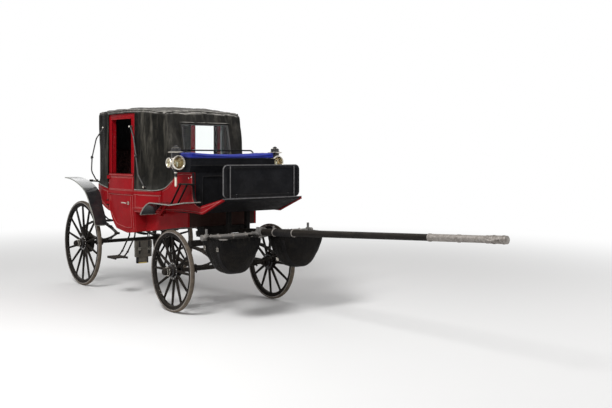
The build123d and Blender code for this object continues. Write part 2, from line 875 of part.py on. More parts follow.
def make_driver_steps():
    """Two diagonal irons from the wing to a tread beside the boot, on each side."""
    tread = block(2396, 2552, box_half_width + seat_gap, 624, 1352, 1362)
    for x in (2194, 2330):
        tread += rod([(x, 590, 1144), (x + 212, 600, 1356)], 10)
    return pair(tread)


lamp_x, lamp_y, lamp_z = 2400, 650, 1585


def make_lamps():
    """Carriage lamp with a round front lens, a smaller side lens, a chimney and a candle tube."""
    front = drum((lamp_x + 8, lamp_y, lamp_z), 80, 116, "x")
    side = drum((lamp_x - 8, lamp_y + 48, lamp_z), 55, 92, "y")
    case = block(lamp_x - 52, lamp_x + 50, lamp_y - 66, lamp_y + 60, lamp_z - 66, lamp_z + 66)
    brim = [(58, 60), (58, 104), (84, 112), (84, 118), (50, 132), (50, 146), (24, 168), (14, 178)]
    chimney = outline((0, 60), *brim, (0, 182))
    hat = revolve(Plane.XZ * chimney, Axis.Z)
    tube = outline((0, -60), (34, -60), (20, -96), (14, -104), (14, -250), (9, -258), (0, -258))
    candle = revolve(Plane.XZ * tube, Axis.Z)
    arm_foot = (lamp_x - 20, seat_box_half_width - 5, seat_box_top_z - 80)
    arm = rod([arm_foot, (lamp_x - 20, lamp_y - 60, lamp_z - 30)], 10)
    return pair(front + side + case + Pos(lamp_x - 4, lamp_y, lamp_z) * (hat + candle) + arm)


def make_hood_irons():
    """Jointed landau irons, a pair each side, standing off the hood on bosses."""
    irons = []
    rows = [
        # upper x, upper z, knuckle x, knuckle z, lower x, lower z
        (1292, 2000, 1450, 1660, 1566, 1300),
        (520, 2010, 190, 1640, 112, 1345),
    ]
    for upper_x, upper_z, knuckle_x, knuckle_z, lower_x, lower_z in rows:
        surface = [barrel_y(x) + hood_stand_out for x in (upper_x, lower_x)]
        upper_y, lower_y = surface[0] + 18, max(surface[1] + 16, 512)
        knuckle = (knuckle_x, max(upper_y, lower_y) + 8, knuckle_z)
        shoulder_x = upper_x + (knuckle_x - upper_x) * 0.62
        shoulder_z = upper_z - (upper_z - knuckle_z) * 0.36
        shin_x = knuckle_x + (lower_x - knuckle_x) * 0.36
        shin_z = knuckle_z - (knuckle_z - lower_z) * 0.6
        bar = rod([(upper_x, upper_y, upper_z), (shoulder_x, upper_y + 8, shoulder_z), knuckle], 8, 120)
        bar += rod([knuckle, (shin_x, knuckle[1] - 4, shin_z), (lower_x, lower_y, lower_z)], 8, 120)
        bar += Pos(*knuckle) * Sphere(17)
        bar += drum((upper_x, upper_y - 4, upper_z), 13, 36, "y")
        bar += drum((lower_x, lower_y - 4, lower_z), 13, 32, "y")
        irons.append(bar)
    return irons


def make_hood_rests():
    """Irons behind the body that carry the hood when it is down."""
    y = 500 - 20
    bar = rod([(body_rear_x + 24, y - 30, 1322), (96, y, 1330), (-100, y + 8, 1335)], 10, 60)
    bar += drum((-100, y + 8, 1335), 16, 44, "y")
    return pair(bar)


def make_passenger_steps():
    """Folding-step type treads hung from the floor by two irons each."""
    tread = block(896, 1126, 572, 728, 452, 462)
    tread += block(896, 1126, 572, 580, 440, 462) + block(896, 1126, 720, 728, 440, 462)
    for x in (936, 1076):
        tread += rod([(x, 600, 456), (x + 30, 566, 520), (x + 54, 486, 700), (x + 56, 478, 790)], 9, 30)
    return tread


def make_tool_pouches():
    """Pouches hung across, behind the front wheels, on two hooks each."""
    x, z = 1372, 672
    pouch = block(x - 22, x + 22, 398, 604, z - 190, z)
    pouch = fillet(pouch.edges().filter_by(Axis.X), 14)
    pouch += block(x - 16, x + 16, 446, 580, z - 262, z - 186)
    for y in (424, 442):
        pouch += rod([(x, y, z - 6), (x, y, 790)], 6)
    return pouch


def make_seats():
    """Rear and front passenger benches, their cushions and backs."""
    core = body_core(wall + 8)
    rear_box = outline((745, 960), (745, 1120), (340, 1120), (440, 1060), (700, 960))
    low = 1120 + seat_gap
    rear_cushion = outline((300, low), (272, 1232), (772, 1244), (772, low))
    rear_back = outline((196, 1340), (190, 1760), (262, 1772), (340, 1234), (272, 1232 + seat_gap))
    front_box = outline((1570, 820), (1570, 1120), (2040, 1120), (2040, 1064), (2000, 840))
    front_cushion = outline((1540, low), (1540, 1216), (1985, 1208), (1985, low))
    front_back = outline((1950, 1209), (1900, 1590), (1960, 1600), (2028, 1400), (2036, 1209))
    boxes = [along_y(f, -420, 420) for f in (rear_box, front_box)]
    cushions = [along_y(f, -560, 560) & core for f in (rear_cushion, front_cushion)]
    backs = [along_y(f, -400, 400) for f in (rear_back, front_back)]
    return boxes, cushions, backs


def cut_back(pieces, seats):
    """Pieces with what would reach into their seats taken off, so that they end face to face."""
    ended = []
    for piece in pieces:
        for seat in seats:
            piece = piece - seat
        solids = piece.solids()
        ended.append(max(solids, key=lambda solid: solid.volume))
    return ended


def build_nodes():
    """Every named sub-part of the carriage."""
    nodes = {}
    hood = hood_block(0, True)
    bottom = make_bottom()
    rear_quarters, front_quarters = make_side_panels()
    nodes["rear_quarter_panels"] = rear_quarters
    nodes["front_quarter_panels"] = front_quarters
    nodes["bottom_boards"] = [bottom]
    nodes["well_sides"] = cut_back(make_well_sides(), front_quarters + [bottom])
    nodes["window_frames"] = cut_back(make_door_frames(), rear_quarters + front_quarters)
    rear_hood, front_hood, glass = make_hood()
    nodes["rear_hood"] = [rear_hood]
    nodes["front_hood"] = [front_hood]
    nodes["front_window_glass"] = [glass]
    nodes["boot_sides"] = cut_back(make_box_sides(), [hood])
    toe, bulkhead, boot_front = make_box_boards()
    nodes["toe_board"] = [toe]
    nodes["cabin_front_board"] = cut_back([bulkhead], [hood])
    nodes["boot_front_panel"] = cut_back([boot_front], [toe])
    seat_box = make_seat_box()
    nodes["driver_seat_box"] = [seat_box]
    nodes["driver_cushion"] = [make_driver_cushion()]
    nodes["dashboard"] = cut_back([make_dashboard()], [toe])
    rear_seat_z = rear_wheel_radius + axle_section / 2
    front_seat_z = front_wheel_radius + axle_section / 2
    nodes["rear_springs"] = pair(
        make_spring(0, rear_spring_y, rear_seat_z, rear_spring_half_length, rear_spring_rise)
    )
    nodes["front_springs"] = pair(
        make_spring(wheelbase, front_spring_y, front_seat_z, front_spring_half_length, front_spring_rise)
    )
    nodes["rear_axle"] = [make_axle(0, rear_wheel_radius)]
    nodes["front_axle"] = [make_axle(wheelbase, front_wheel_radius)]
    irons, cross = make_body_irons()
    body_irons = irons[0] + irons[1] + cross
    nodes["body_irons"] = cut_back([body_irons], [bottom])
    nodes["turntable"] = cut_back([make_turntable()], [toe, bottom])
    pole, pole_head = make_pole()
    splinter_bar = make_splinter_bar(pole)
    nodes["splinter_bar"] = [splinter_bar]
    nodes["fore_frame"] = cut_back([make_fore_frame()], [splinter_bar, pole])
    nodes["pole"], nodes["pole_head"] = [pole], [pole_head]
    nodes["dung_bags"] = cut_back(pair(make_dung_bags()), nodes["splinter_bar"])
    nodes["rear_fenders"] = cut_back(make_rear_fenders(), [body_irons])
    wings = make_front_fenders()
    nodes["front_fenders"] = wings
    nodes["driver_steps"] = cut_back(make_driver_steps(), wings)
    nodes["lamps"] = cut_back(make_lamps(), [seat_box])
    nodes["door_hinges"] = make_door_hinges(rear_quarters[:1] + nodes["window_frames"][:1])
    hood_irons = [one for iron in make_hood_irons() for one in pair(iron)]
    panels = nodes["window_frames"] + rear_quarters + front_quarters
    nodes["hood_irons"] = cut_back(hood_irons, [hood] + panels)
    nodes["hood_rests"] = cut_back(make_hood_rests(), [hood, bottom] + rear_quarters)
    nodes["passenger_steps"] = cut_back(pair(make_passenger_steps()), [bottom, body_irons])
    nodes["tool_pouches"] = cut_back(pair(make_tool_pouches()), [bottom] + nodes["well_sides"])
    boxes, cushions, backs = make_seats()
    nodes["passenger_seat_boxes"] = cut_back(boxes, [bottom])
    nodes["passenger_cushions"] = cut_back(cushions, [bottom])
    nodes["passenger_backs"] = backs
    left_door = make_doors()
    nodes["left_door"], nodes["right_door"] = [[one] for one in pair(left_door)]
    handle = make_door_handle()
    nodes["left_door_handle"], nodes["right_door_handle"] = [[one] for one in pair(handle)]
    rows = [
        # name, axle x, radius, spokes, braked
        ("rear", 0, rear_wheel_radius, 14, True),
        ("front", wheelbase, front_wheel_radius, 12, False),
    ]
    for name, x, radius, spokes, braked in rows:
        for hand, side in (("left", 1), ("right", -1)):
            wheel, tyre = make_wheel(x, radius, spokes, side, braked)
            nodes[f"{name}_{hand}_wheel"] = [wheel]
            nodes[f"{name}_{hand}_tyre"] = [tyre]
    return nodes


def make_door_handle():
    """Lever handle on its round plate, near the door's front edge."""
    x, z = 1216, 1104
    y = barrel_y(x)
    plate = drum((x, y + 2, z), 20, 10, "y")
    stem = drum((x, y + 18, z), 8, 36, "y")
    lever = rod([(x, y + 34, z), (x - 60, y + 38, z + 4), (x - 118, y + 32, z + 2)], 7, 30)
    return plate + stem + lever


if __name__ == "__main__":
    os.makedirs("parts", exist_ok=True)
    shift = Pos(-middle_x, 0, 0)
    for name, solids in build_nodes().items():
        whole = Compound(children=[shift * solid for piece in solids for solid in piece.solids()])
        export_step(whole, f"parts/{name}.step")
        print(name, len(whole.solids()), "solids")
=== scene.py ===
import bpy
import bmesh
import cmath
import math
from mathutils import Matrix, Vector, noise
from mathutils.bvhtree import BVHTree


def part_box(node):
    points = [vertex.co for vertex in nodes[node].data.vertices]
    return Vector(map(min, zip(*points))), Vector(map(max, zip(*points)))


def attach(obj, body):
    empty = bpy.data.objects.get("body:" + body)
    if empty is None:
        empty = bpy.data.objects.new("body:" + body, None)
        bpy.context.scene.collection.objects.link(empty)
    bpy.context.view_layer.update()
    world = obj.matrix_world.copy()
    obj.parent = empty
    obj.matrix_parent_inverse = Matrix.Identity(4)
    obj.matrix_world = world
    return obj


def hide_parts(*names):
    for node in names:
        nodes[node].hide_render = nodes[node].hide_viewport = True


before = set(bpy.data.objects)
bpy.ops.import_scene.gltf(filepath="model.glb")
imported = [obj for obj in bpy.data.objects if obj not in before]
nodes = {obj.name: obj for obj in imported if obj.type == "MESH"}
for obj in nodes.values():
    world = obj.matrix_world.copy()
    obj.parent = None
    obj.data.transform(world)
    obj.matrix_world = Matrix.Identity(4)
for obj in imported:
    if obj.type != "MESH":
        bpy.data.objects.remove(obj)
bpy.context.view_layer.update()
print("frame loaded with", len(nodes), "nodes")

# Places along the carriage are measured from the rear axle
rearAxleX = sum(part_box("rear_left_tyre"), Vector()).x / 2


def at(x, y, z):
    return Vector((rearAxleX + x, y, z))


def link(thing):
    bpy.context.scene.collection.objects.link(thing)
    return thing


# Camera, at the photograph's own viewing angle

photo = {"width": 612, "height": 408, "focal": 799.45, "horizonY": 156.4}
eye = {"place": (9.823, -4.875, 1.652), "look": (-0.7785, 0.6277, 0), "sensor": 36}


def makeCamera():
    data = bpy.data.cameras.new("camera")
    data.sensor_width = eye["sensor"]
    data.lens = photo["focal"] / photo["width"] * data.sensor_width
    data.shift_y = -(photo["height"] / 2 - photo["horizonY"]) / photo["width"]
    camera = link(bpy.data.objects.new("camera", data))
    camera.location = at(*eye["place"])
    camera.rotation_euler = Vector(eye["look"]).to_track_quat("-Z", "Y").to_euler()
    bpy.context.scene.camera = camera


makeCamera()


# Shader helpers


def addNode(tree, kind, settings=None, **values):
    made = tree.nodes.new("ShaderNode" + kind)
    for name, value in (settings or {}).items():
        setattr(made, name, value)
    for name, value in values.items():
        made.inputs[name.replace("_", " ")].default_value = value
    return made


def feed(tree, value, socket):
    if isinstance(value, bpy.types.NodeSocket):
        tree.links.new(value, socket)
    else:
        socket.default_value = value


def calc(tree, operation, *terms, clamp=False):
    made = addNode(tree, "Math", {"operation": operation, "use_clamp": clamp})
    for socket, term in zip(made.inputs, terms):
        feed(tree, term, socket)
    return made.outputs[0]


def product(tree, *terms, clamp=False):
    result = terms[0]
    for term in terms[1:]:
        result = calc(tree, "MULTIPLY", result, term, clamp=clamp)
    return result


def ramp(tree, value, slope, start):
    return calc(tree, "MULTIPLY_ADD", value, slope, start, clamp=True)


def vectorCalc(tree, operation, first, second, output=0):
    made = addNode(tree, "VectorMath", {"operation": operation})
    feed(tree, first, made.inputs[0])
    feed(tree, second, made.inputs[1])
    return made.outputs[output]


def mixColour(tree, share, low, high):
    made = addNode(tree, "Mix", {"data_type": "RGBA"})
    for socket, value in ((0, share), (6, low), (7, high)):
        feed(tree, value, made.inputs[socket])
    return made.outputs[2]


def objectPlace(tree):
    return addNode(tree, "TexCoord").outputs["Object"]


def parts(tree, vector):
    made = addNode(tree, "SeparateXYZ")
    tree.links.new(vector, made.inputs[0])
    return made.outputs


def faceNormal(tree):
    return addNode(tree, "NewGeometry").outputs["Normal"]


def noiseValue(tree, scale, detail=4, roughness=0.55, stretch=(1, 1, 1)):
    made = addNode(tree, "TexNoise", Detail=detail, Roughness=roughness)
    feed(tree, scale, made.inputs["Scale"])
    spread = addNode(tree, "Mapping", Scale=stretch)
    tree.links.new(objectPlace(tree), spread.inputs["Vector"])
    tree.links.new(spread.outputs["Vector"], made.inputs["Vector"])
    return made.outputs["Fac"]


# Shader groups


def startGroup(name, inputs, outputs):
    group = bpy.data.node_groups.new(name, "ShaderNodeTree")
    for label, value in inputs.items():
        kind = "NodeSocketColor" if isinstance(value, tuple) else "NodeSocketFloat"
        group.interface.new_socket(label, in_out="INPUT", socket_type=kind).default_value = value
    kinds = {"Colour": "NodeSocketColor", "Normal": "NodeSocketVector"}
    for label in outputs:
        group.interface.new_socket(label, in_out="OUTPUT", socket_type=kinds.get(label, "NodeSocketFloat"))
    return group, group.nodes.new("NodeGroupInput").outputs, group.nodes.new("NodeGroupOutput").inputs


def endGroup(tree, made, **results):
    for label, value in results.items():
        tree.links.new(value, made[label])
    return tree


white = (1, 1, 1, 1)


def makeDustGroup():
    # road dust: thick low down, thin on what faces up
    given = {"Colour": white, "Dust": white, "Low": 0.0, "High": 1.0, "Foot": 0.5, "Top": 0.3, "Scale": 9.0}
    tree, given, made = startGroup("roadDust", given, ("Colour", "Cover"))
    height = parts(tree, objectPlace(tree))[2]
    span = calc(tree, "SUBTRACT", given["High"], given["Low"])
    foot = calc(tree, "DIVIDE", calc(tree, "SUBTRACT", given["High"], height), span, clamp=True)
    foot = product(tree, calc(tree, "POWER", foot, 1.4), given["Foot"])
    top = product(tree, calc(tree, "MAXIMUM", parts(tree, faceNormal(tree))[2], 0.0), given["Top"])
    patches = ramp(tree, noiseValue(tree, given["Scale"], 6, 0.62), 2.6, -0.55)
    specks = calc(tree, "MULTIPLY_ADD", noiseValue(tree, 190, 2), 0.8, 0.6)
    cover = product(tree, product(tree, calc(tree, "ADD", foot, top), patches), specks, clamp=True)
    return endGroup(tree, made, Colour=mixColour(tree, cover, given["Colour"], given["Dust"]), Cover=cover)


def makeRubAndHighlightGroup():
    # edges painted paler, found where a rounded normal leaves the flat one: worn edges, and where the worn
    # colour is bright, as on the wheels, a painted highlight along them
    given = {"Colour": white, "WornAndHighlight": white, "Radius": 0.004, "Amount": 0.5}
    tree, given, made = startGroup("edgeRubAndHighlight", given, ("Colour", "Normal"))
    rounded = addNode(tree, "Bevel", {"samples": 4})
    tree.links.new(given["Radius"], rounded.inputs["Radius"])
    turn = vectorCalc(tree, "DOT_PRODUCT", rounded.outputs[0], faceNormal(tree), "Value")
    edge = product(tree, calc(tree, "SUBTRACT", 0.99, turn), 7.0, clamp=True)
    broken = ramp(tree, noiseValue(tree, 38, 5, 0.65), 3.2, -1.15)
    mask = product(tree, product(tree, edge, broken), given["Amount"], clamp=True)
    worn = mixColour(tree, mask, given["Colour"], given["WornAndHighlight"])
    return endGroup(tree, made, Colour=worn, Normal=rounded.outputs[0])


def makeHideGroup():
    # leather: pebbled cells with fine creases between them
    tree, given, made = startGroup("hideGrain", {"Scale": 260.0, "Creases": 0.4}, ("Height", "Tone"))
    cells = addNode(tree, "TexVoronoi", {"feature": "DISTANCE_TO_EDGE"})
    tree.links.new(given["Scale"], cells.inputs["Scale"])
    wander = product(tree, noiseValue(tree, 22, 3), 0.02)
    tree.links.new(vectorCalc(tree, "ADD", objectPlace(tree), wander), cells.inputs["Vector"])
    pebble = product(tree, cells.outputs["Distance"], 2.2, clamp=True)
    ridge = calc(tree, "ABSOLUTE", calc(tree, "MULTIPLY_ADD", noiseValue(tree, 16, 7, 0.7), 2.0, -1.0))
    crease = calc(tree, "SUBTRACT", 1.0, product(tree, ridge, 7.0, clamp=True))
    crease = product(tree, crease, given["Creases"])
    # the creases are painted darker as well: painted shade in the creases
    tone = calc(tree, "SUBTRACT", noiseValue(tree, 7, 6, 0.6), product(tree, crease, 0.4))
    return endGroup(tree, made, Height=calc(tree, "SUBTRACT", pebble, crease), Tone=tone)


def makeWeaveGroup():
    # plain weave: over and under threads in three directions
    tree, given, made = startGroup("plainWeave", {"Threads": 900.0, "Fuzz": 0.3}, ("Height", "Tone"))
    spots = parts(tree, objectPlace(tree))
    waves = [calc(tree, "SINE", product(tree, spots[i], given["Threads"])) for i in range(3)]
    crossed = product(tree, waves[0], waves[1])
    upright = product(tree, calc(tree, "ADD", waves[0], waves[1]), waves[2])
    flatness = calc(tree, "ABSOLUTE", parts(tree, faceNormal(tree))[2])
    upright = product(tree, upright, calc(tree, "SUBTRACT", 1.0, flatness))
    woven = calc(tree, "ADD", product(tree, crossed, flatness), upright)
    fuzz = product(tree, noiseValue(tree, 420, 2), given["Fuzz"])
    height = calc(tree, "ADD", calc(tree, "MULTIPLY_ADD", woven, 0.5, 0.5), fuzz)
    return endGroup(tree, made, Height=height, Tone=noiseValue(tree, 12, 5, 0.6))


def makeGrainGroup():
    # wood along X, and brush marks in paint where the depth is small
    tree, given, made = startGroup("woodGrain", {"Scale": 6.0}, ("Height", "Tone"))
    long = noiseValue(tree, given["Scale"], 6, 0.65, (1, 28, 28))
    fine = noiseValue(tree, 40, 3, 0.6, (1, 20, 20))
    return endGroup(tree, made, Height=calc(tree, "MULTIPLY_ADD", fine, 0.4, long), Tone=long)


def makeMottleGroup():
    # brushed enamel or cast metal: broad waves under fine pitting
    tree, given, made = startGroup("mottle", {"Scale": 14.0, "Pits": 0.3}, ("Height", "Tone"))
    broad = noiseValue(tree, given["Scale"], 5, 0.6)
    pits = product(tree, noiseValue(tree, 330, 3), given["Pits"])
    return endGroup(tree, made, Height=calc(tree, "ADD", broad, pits), Tone=broad)


groups = {
    "dust": makeDustGroup(), "rub": makeRubAndHighlightGroup(), "hide": makeHideGroup(),
    "weave": makeWeaveGroup(), "grain": makeGrainGroup(), "mottle": makeMottleGroup(),
}


def useGroup(tree, group, **values):
    made = addNode(tree, "Group", {"node_tree": groups[group]})
    for name, value in values.items():
        feed(tree, value, made.inputs[name])
    return made.outputs


# Finishes

roadDust = (0.33, 0.275, 0.215, 1)
# pale dust, also the colour of the painted highlight along the hood's eave
paleDustAndHighlight = (0.42, 0.40, 0.37, 1)


def tones(colour, second, rough, grain, depth, **more):
    # colour and second are the two tones that the grain mixes; depth is the grain's height in metres
    return {"colour": colour, "second": second, "rough": rough, "grain": grain, "depth": depth, **more}


def mottle(scale, pits):
    return "mottle", {"Scale": scale, "Pits": pits}


def hide(scale, creases):
    return "hide", {"Scale": scale, "Creases": creases}


def weave(threads, fuzz):
    return "weave", {"Threads": threads, "Fuzz": fuzz}


def wood(scale):
    return "grain", {"Scale": scale}


def dusty(low, high, foot, top, **more):
    return {"Low": low, "High": high, "Foot": foot, "Top": top, "Dust": roadDust, **more}


def rubbedAndHighlit(worn, radius, amount):
    return {"WornAndHighlight": (*worn, 1), "Radius": radius, "Amount": amount}


finishes = {
    "coachRed": tones(
        (0.29, 0.0055, 0.010), (0.21, 0.003, 0.006), 0.24, mottle(5, 0.12), 0.0006, coat=0.04, shine=0.012,
        dust=dusty(0.72, 1.5, 0.04, 0.05), rub=rubbedAndHighlit((0.40, 0.07, 0.07), 0.003, 0.25),
    ),
    "railGrey": tones(
        (0.15, 0.15, 0.155), (0.075, 0.07, 0.068), 0.4, mottle(40, 0.5), 0.0005, spread=0.25, metallic=0.5,
    ),
    "stripeCream": tones((0.46, 0.17, 0.155), (0.36, 0.10, 0.095), 0.4, mottle(30, 0.2), 0.0002),
    # the hide's pale streaks and eave band are painted sheen and highlight as well as scuffs and dust
    "hoodLeather": tones(
        (0.008, 0.008, 0.0075), (0.020, 0.0185, 0.0155), 0.46, hide(320, 0.5), 0.0008, spread=0.18,
        shine=0.012, dust=dusty(1.2, 1.5, 0.05, 0.17, Scale=6.0, Dust=paleDustAndHighlight),
        rub=rubbedAndHighlit((0.10, 0.095, 0.085), 0.006, 0.5), streak=0.85, eave=0.85,
    ),
    "hoodLining": tones(
        (0.016, 0.015, 0.016), (0.026, 0.024, 0.024), 0.9, weave(1500, 0.5), 0.0003, sheen=0.15,
    ),
    "boxLeather": tones(
        (0.007, 0.0075, 0.009), (0.015, 0.0155, 0.018), 0.34, hide(420, 0.35), 0.0005, spread=0.2, shine=0.02,
        dust=dusty(1.0, 1.7, 0.03, 0.06), rub=rubbedAndHighlit((0.10, 0.097, 0.093), 0.004, 0.4),
    ),
    "cabinLeather": tones(
        (0.030, 0.014, 0.013), (0.050, 0.022, 0.019), 0.42, hide(300, 0.5), 0.0006, spread=0.2,
    ),
    "ironBlack": tones(
        (0.007, 0.007, 0.008), (0.015, 0.014, 0.013), 0.3, mottle(30, 0.4), 0.0008, spread=0.25, shine=0.02,
        dust=dusty(0.2, 1.25, 0.08, 0.08), rub=rubbedAndHighlit((0.26, 0.22, 0.19), 0.0025, 0.5),
    ),
    "fenderBlack": tones(
        (0.010, 0.011, 0.014), (0.018, 0.018, 0.020), 0.13, mottle(9, 0.08), 0.0012, spread=0.15, coat=0.4,
        shine=0.15, dust=dusty(0.7, 1.4, 0.03, 0.03), rub=rubbedAndHighlit((0.35, 0.34, 0.33), 0.003, 0.5),
    ),
    # the wheels' pale edges are painted highlights on spokes and felloes as well as wear
    "wheelBlack": tones(
        (0.006, 0.0056, 0.0056), (0.013, 0.011, 0.010), 0.28, mottle(20, 0.3), 0.0009, spread=0.25, coat=0.04,
        shine=0.006, dust=dusty(0.0, 1.15, 0.05, 0.03), rub=rubbedAndHighlit((0.40, 0.36, 0.32), 0.0025, 0.5),
    ),
    "tyreRubber": tones(
        (0.050, 0.041, 0.034), (0.100, 0.080, 0.062), 0.88, mottle(26, 0.8), 0.0016,
        dust=dusty(-0.3, 1.3, 0.42, 0.15, Scale=16.0), rub=rubbedAndHighlit((0.26, 0.21, 0.17), 0.004, 0.7),
    ),
    "seatBlue": tones(
        (0.020, 0.034, 0.34), (0.011, 0.018, 0.21), 0.82, weave(1300, 0.5), 0.0007, sheen=0.12,
    ),
    "nickel": tones(
        (0.72, 0.69, 0.63), (0.46, 0.42, 0.36), 0.16, mottle(40, 0.25), 0.0004, spread=0.3, metallic=1.0,
    ),
    "dullSteel": tones(
        (0.33, 0.31, 0.29), (0.17, 0.15, 0.135), 0.42, mottle(34, 0.6), 0.0008, spread=0.3, metallic=0.85,
        dust=dusty(0.0, 1.2, 0.15, 0.12), rub=rubbedAndHighlit((0.55, 0.53, 0.50), 0.003, 0.6),
    ),
    "ironGrey": tones(
        (0.060, 0.059, 0.060), (0.11, 0.105, 0.10), 0.36, mottle(46, 0.5), 0.0006, spread=0.25, metallic=0.4,
        rub=rubbedAndHighlit((0.42, 0.40, 0.38), 0.003, 0.9),
    ),
    # wood colour darkened to stand for the shade under the body and in the cabin: painted shade
    "floorWood": tones(
        (0.045, 0.016, 0.013), (0.022, 0.009, 0.008), 0.55, wood(5), 0.0010, dust=dusty(0.6, 1.3, 0.15, 0.3),
    ),
    "barGrey": tones(
        (0.20, 0.195, 0.19), (0.10, 0.094, 0.088), 0.5, wood(4), 0.0012, spread=0.2,
        dust=dusty(0.3, 1.4, 0.12, 0.12), rub=rubbedAndHighlit((0.55, 0.53, 0.50), 0.004, 0.6),
    ),
    "poleBlack": tones(
        (0.008, 0.0075, 0.0075), (0.017, 0.015, 0.0135), 0.24, wood(3), 0.0012, spread=0.25, coat=0.05,
        shine=0.02, dust=dusty(0.6, 1.4, 0.03, 0.05), rub=rubbedAndHighlit((0.22, 0.19, 0.16), 0.005, 0.5),
    ),
    "canvasGrey": tones(
        (0.075, 0.070, 0.060), (0.042, 0.038, 0.033), 0.86, weave(1000, 0.6), 0.0007, sheen=0.1,
        dust=dusty(0.3, 0.9, 0.2, 0.12), rub=rubbedAndHighlit((0.20, 0.185, 0.16), 0.004, 0.6),
    ),
"bagBlack": tones(
        (0.0045, 0.0045, 0.005), (0.011, 0.010, 0.009), 0.32, hide(200, 0.8), 0.0014, spread=0.25, shine=0.03,
        dust=dusty(0.35, 0.95, 0.05, 0.04), rub=rubbedAndHighlit((0.13, 0.12, 0.11), 0.005, 0.6),
    ),
    "bandYellow": tones(
        (0.62, 0.47, 0.05), (0.42, 0.31, 0.04), 0.6, weave(1400, 0.4), 0.0004, dust=dusty(0.2, 0.8, 0.3, 0.2),
    ),
    "pipingBlue": tones(
        (0.016, 0.030, 0.28), (0.010, 0.018, 0.17), 0.7, weave(1600, 0.4), 0.0003, sheen=0.2,
    ),
    "paleBead": tones(
        (0.34, 0.35, 0.32), (0.17, 0.17, 0.15), 0.45, mottle(50, 0.5), 0.0004, spread=0.2, metallic=0.3,
    ),
    "candleCream": tones((0.80, 0.77, 0.66), (0.68, 0.63, 0.50), 0.35, mottle(40, 0.2), 0.0003, coat=0.4),
    "reflector": tones(
        (0.80, 0.69, 0.48), (0.28, 0.19, 0.10), 0.16, mottle(26, 0.1), 0.0035, spread=0.25, metallic=1.0,
    ),
}
# inward faces of the red panels take a lining colour darker than the cabin leather: painted shade inside the
# cabin
finishes["redWithShadedLining"] = {**finishes["coachRed"], "lining": (0.016, 0.012, 0.012)}


def eaveDustAndHighlightMask(tree, amount):
    # where the hide turns from side to roof, a pale ragged band on faces tilted upward: part dust and
    # scuffing, part painted highlight where the rounded eave faces the light from above
    rise = parts(tree, addNode(tree, "TexCoord").outputs["Normal"])[2]
    band = product(tree, ramp(tree, rise, 4.0, -1.5), ramp(tree, rise, -3.7, 3.9))
    ragged = ramp(tree, noiseValue(tree, 17, 6, 0.7), 3.4, -1.1)
    return product(tree, band, product(tree, ragged, amount))


def streakScuffAndSheenMask(tree, amount):
    # upright pale streaks on the folds: scuffs, and painted sheen standing in for the light on the pleats;
    # broad patches broken into fine lines
    broad = ramp(tree, noiseValue(tree, 9, 4, 0.6, (1, 1, 0.16)), 5.5, -2.7)
    fine = ramp(tree, noiseValue(tree, 44, 4, 0.65, (1, 1, 0.10)), 3.0, -0.9)
    return product(tree, broad, fine, amount)


def cabinSideShadeMask(tree):
    # faces of a side panel that look into the cabin, painted with a dark lining colour: inside trim, darkened
    # as painted shade of the cabin
    facing = parts(tree, addNode(tree, "TexCoord").outputs["Normal"])[1]
    hand = calc(tree, "SIGN", parts(tree, objectPlace(tree))[1])
    return calc(tree, "LESS_THAN", product(tree, facing, hand), -0.7)


def newMaterial(name):
    material = bpy.data.materials.new(name)
    material.use_nodes = True
    return material, material.node_tree, material.node_tree.nodes["Principled BSDF"].inputs


def makeFinish(name, spec):
    material, tree, shader = newMaterial(name)
    kind, values = spec["grain"]
    grain = useGroup(tree, kind, **values)
    tone = ramp(tree, grain["Tone"], 2.6, -0.8)
    colour = mixColour(tree, tone, (*spec["colour"], 1), (*spec["second"], 1))
    rough = calc(tree, "MULTIPLY_ADD", tone, spec.get("spread", 0.08), spec["rough"])
    # pale upright streaks: scuffs and painted sheen on the hood's folds
    if "streak" in spec:
        scuffAndSheenColour = (*[4.6 * part for part in spec["second"]], 1)
        colour = mixColour(tree, streakScuffAndSheenMask(tree, spec["streak"]), colour, scuffAndSheenColour)
    # eave band: dust with a painted highlight along the roof's edge
    if "eave" in spec:
        colour = mixColour(tree, eaveDustAndHighlightMask(tree, spec["eave"]), colour, paleDustAndHighlight)
    # inward faces: lining colour darkened as painted shade
    if "lining" in spec:
        colour = mixColour(tree, cabinSideShadeMask(tree), colour, (*spec["lining"], 1))
    bump = addNode(tree, "Bump", Strength=1.0, Distance=spec["depth"])
    tree.links.new(grain["Height"], bump.inputs["Height"])
    # pale edges: wear, and a painted highlight where the worn colour is bright
    if "rub" in spec:
        worn = useGroup(tree, "rub", Colour=colour, **spec["rub"])
        colour = worn["Colour"]
        tree.links.new(worn["Normal"], bump.inputs["Normal"])
    if "dust" in spec:
        settled = useGroup(tree, "dust", Colour=colour, **spec["dust"])
        colour = settled["Colour"]
        rough = calc(tree, "MULTIPLY_ADD", settled["Cover"], 0.5, rough, clamp=True)
    for socket, value in (
        ("Normal", bump.outputs[0]), ("Base Color", colour), ("Roughness", rough),
        ("Metallic", spec.get("metallic", 0.0)), ("Specular IOR Level", spec.get("shine", 0.05)),
        ("Coat Weight", spec.get("coat", 0.0)), ("Coat Roughness", 0.08),
        ("Sheen Weight", spec.get("sheen", 0.0)),
    ):
        feed(tree, value, shader[socket])
    return material


def makeGlass(name):
    # thin clear glass: mostly see-through
    material, _, shader = newMaterial(name)
    shader["Base Color"].default_value = (0.93, 0.97, 0.96, 1)
    shader["Roughness"].default_value = 0.0
    shader["IOR"].default_value = 1.18
    shader["Transmission Weight"].default_value = 1.0
    return material


finish = {name: makeFinish(name, spec) for name, spec in finishes.items()}
for name in ("clearGlass", "lampGlass"):
    finish[name] = makeGlass(name)
print("materials made:", len(finish))

# Material slot of each finish, with the carried-over nodes that wear it

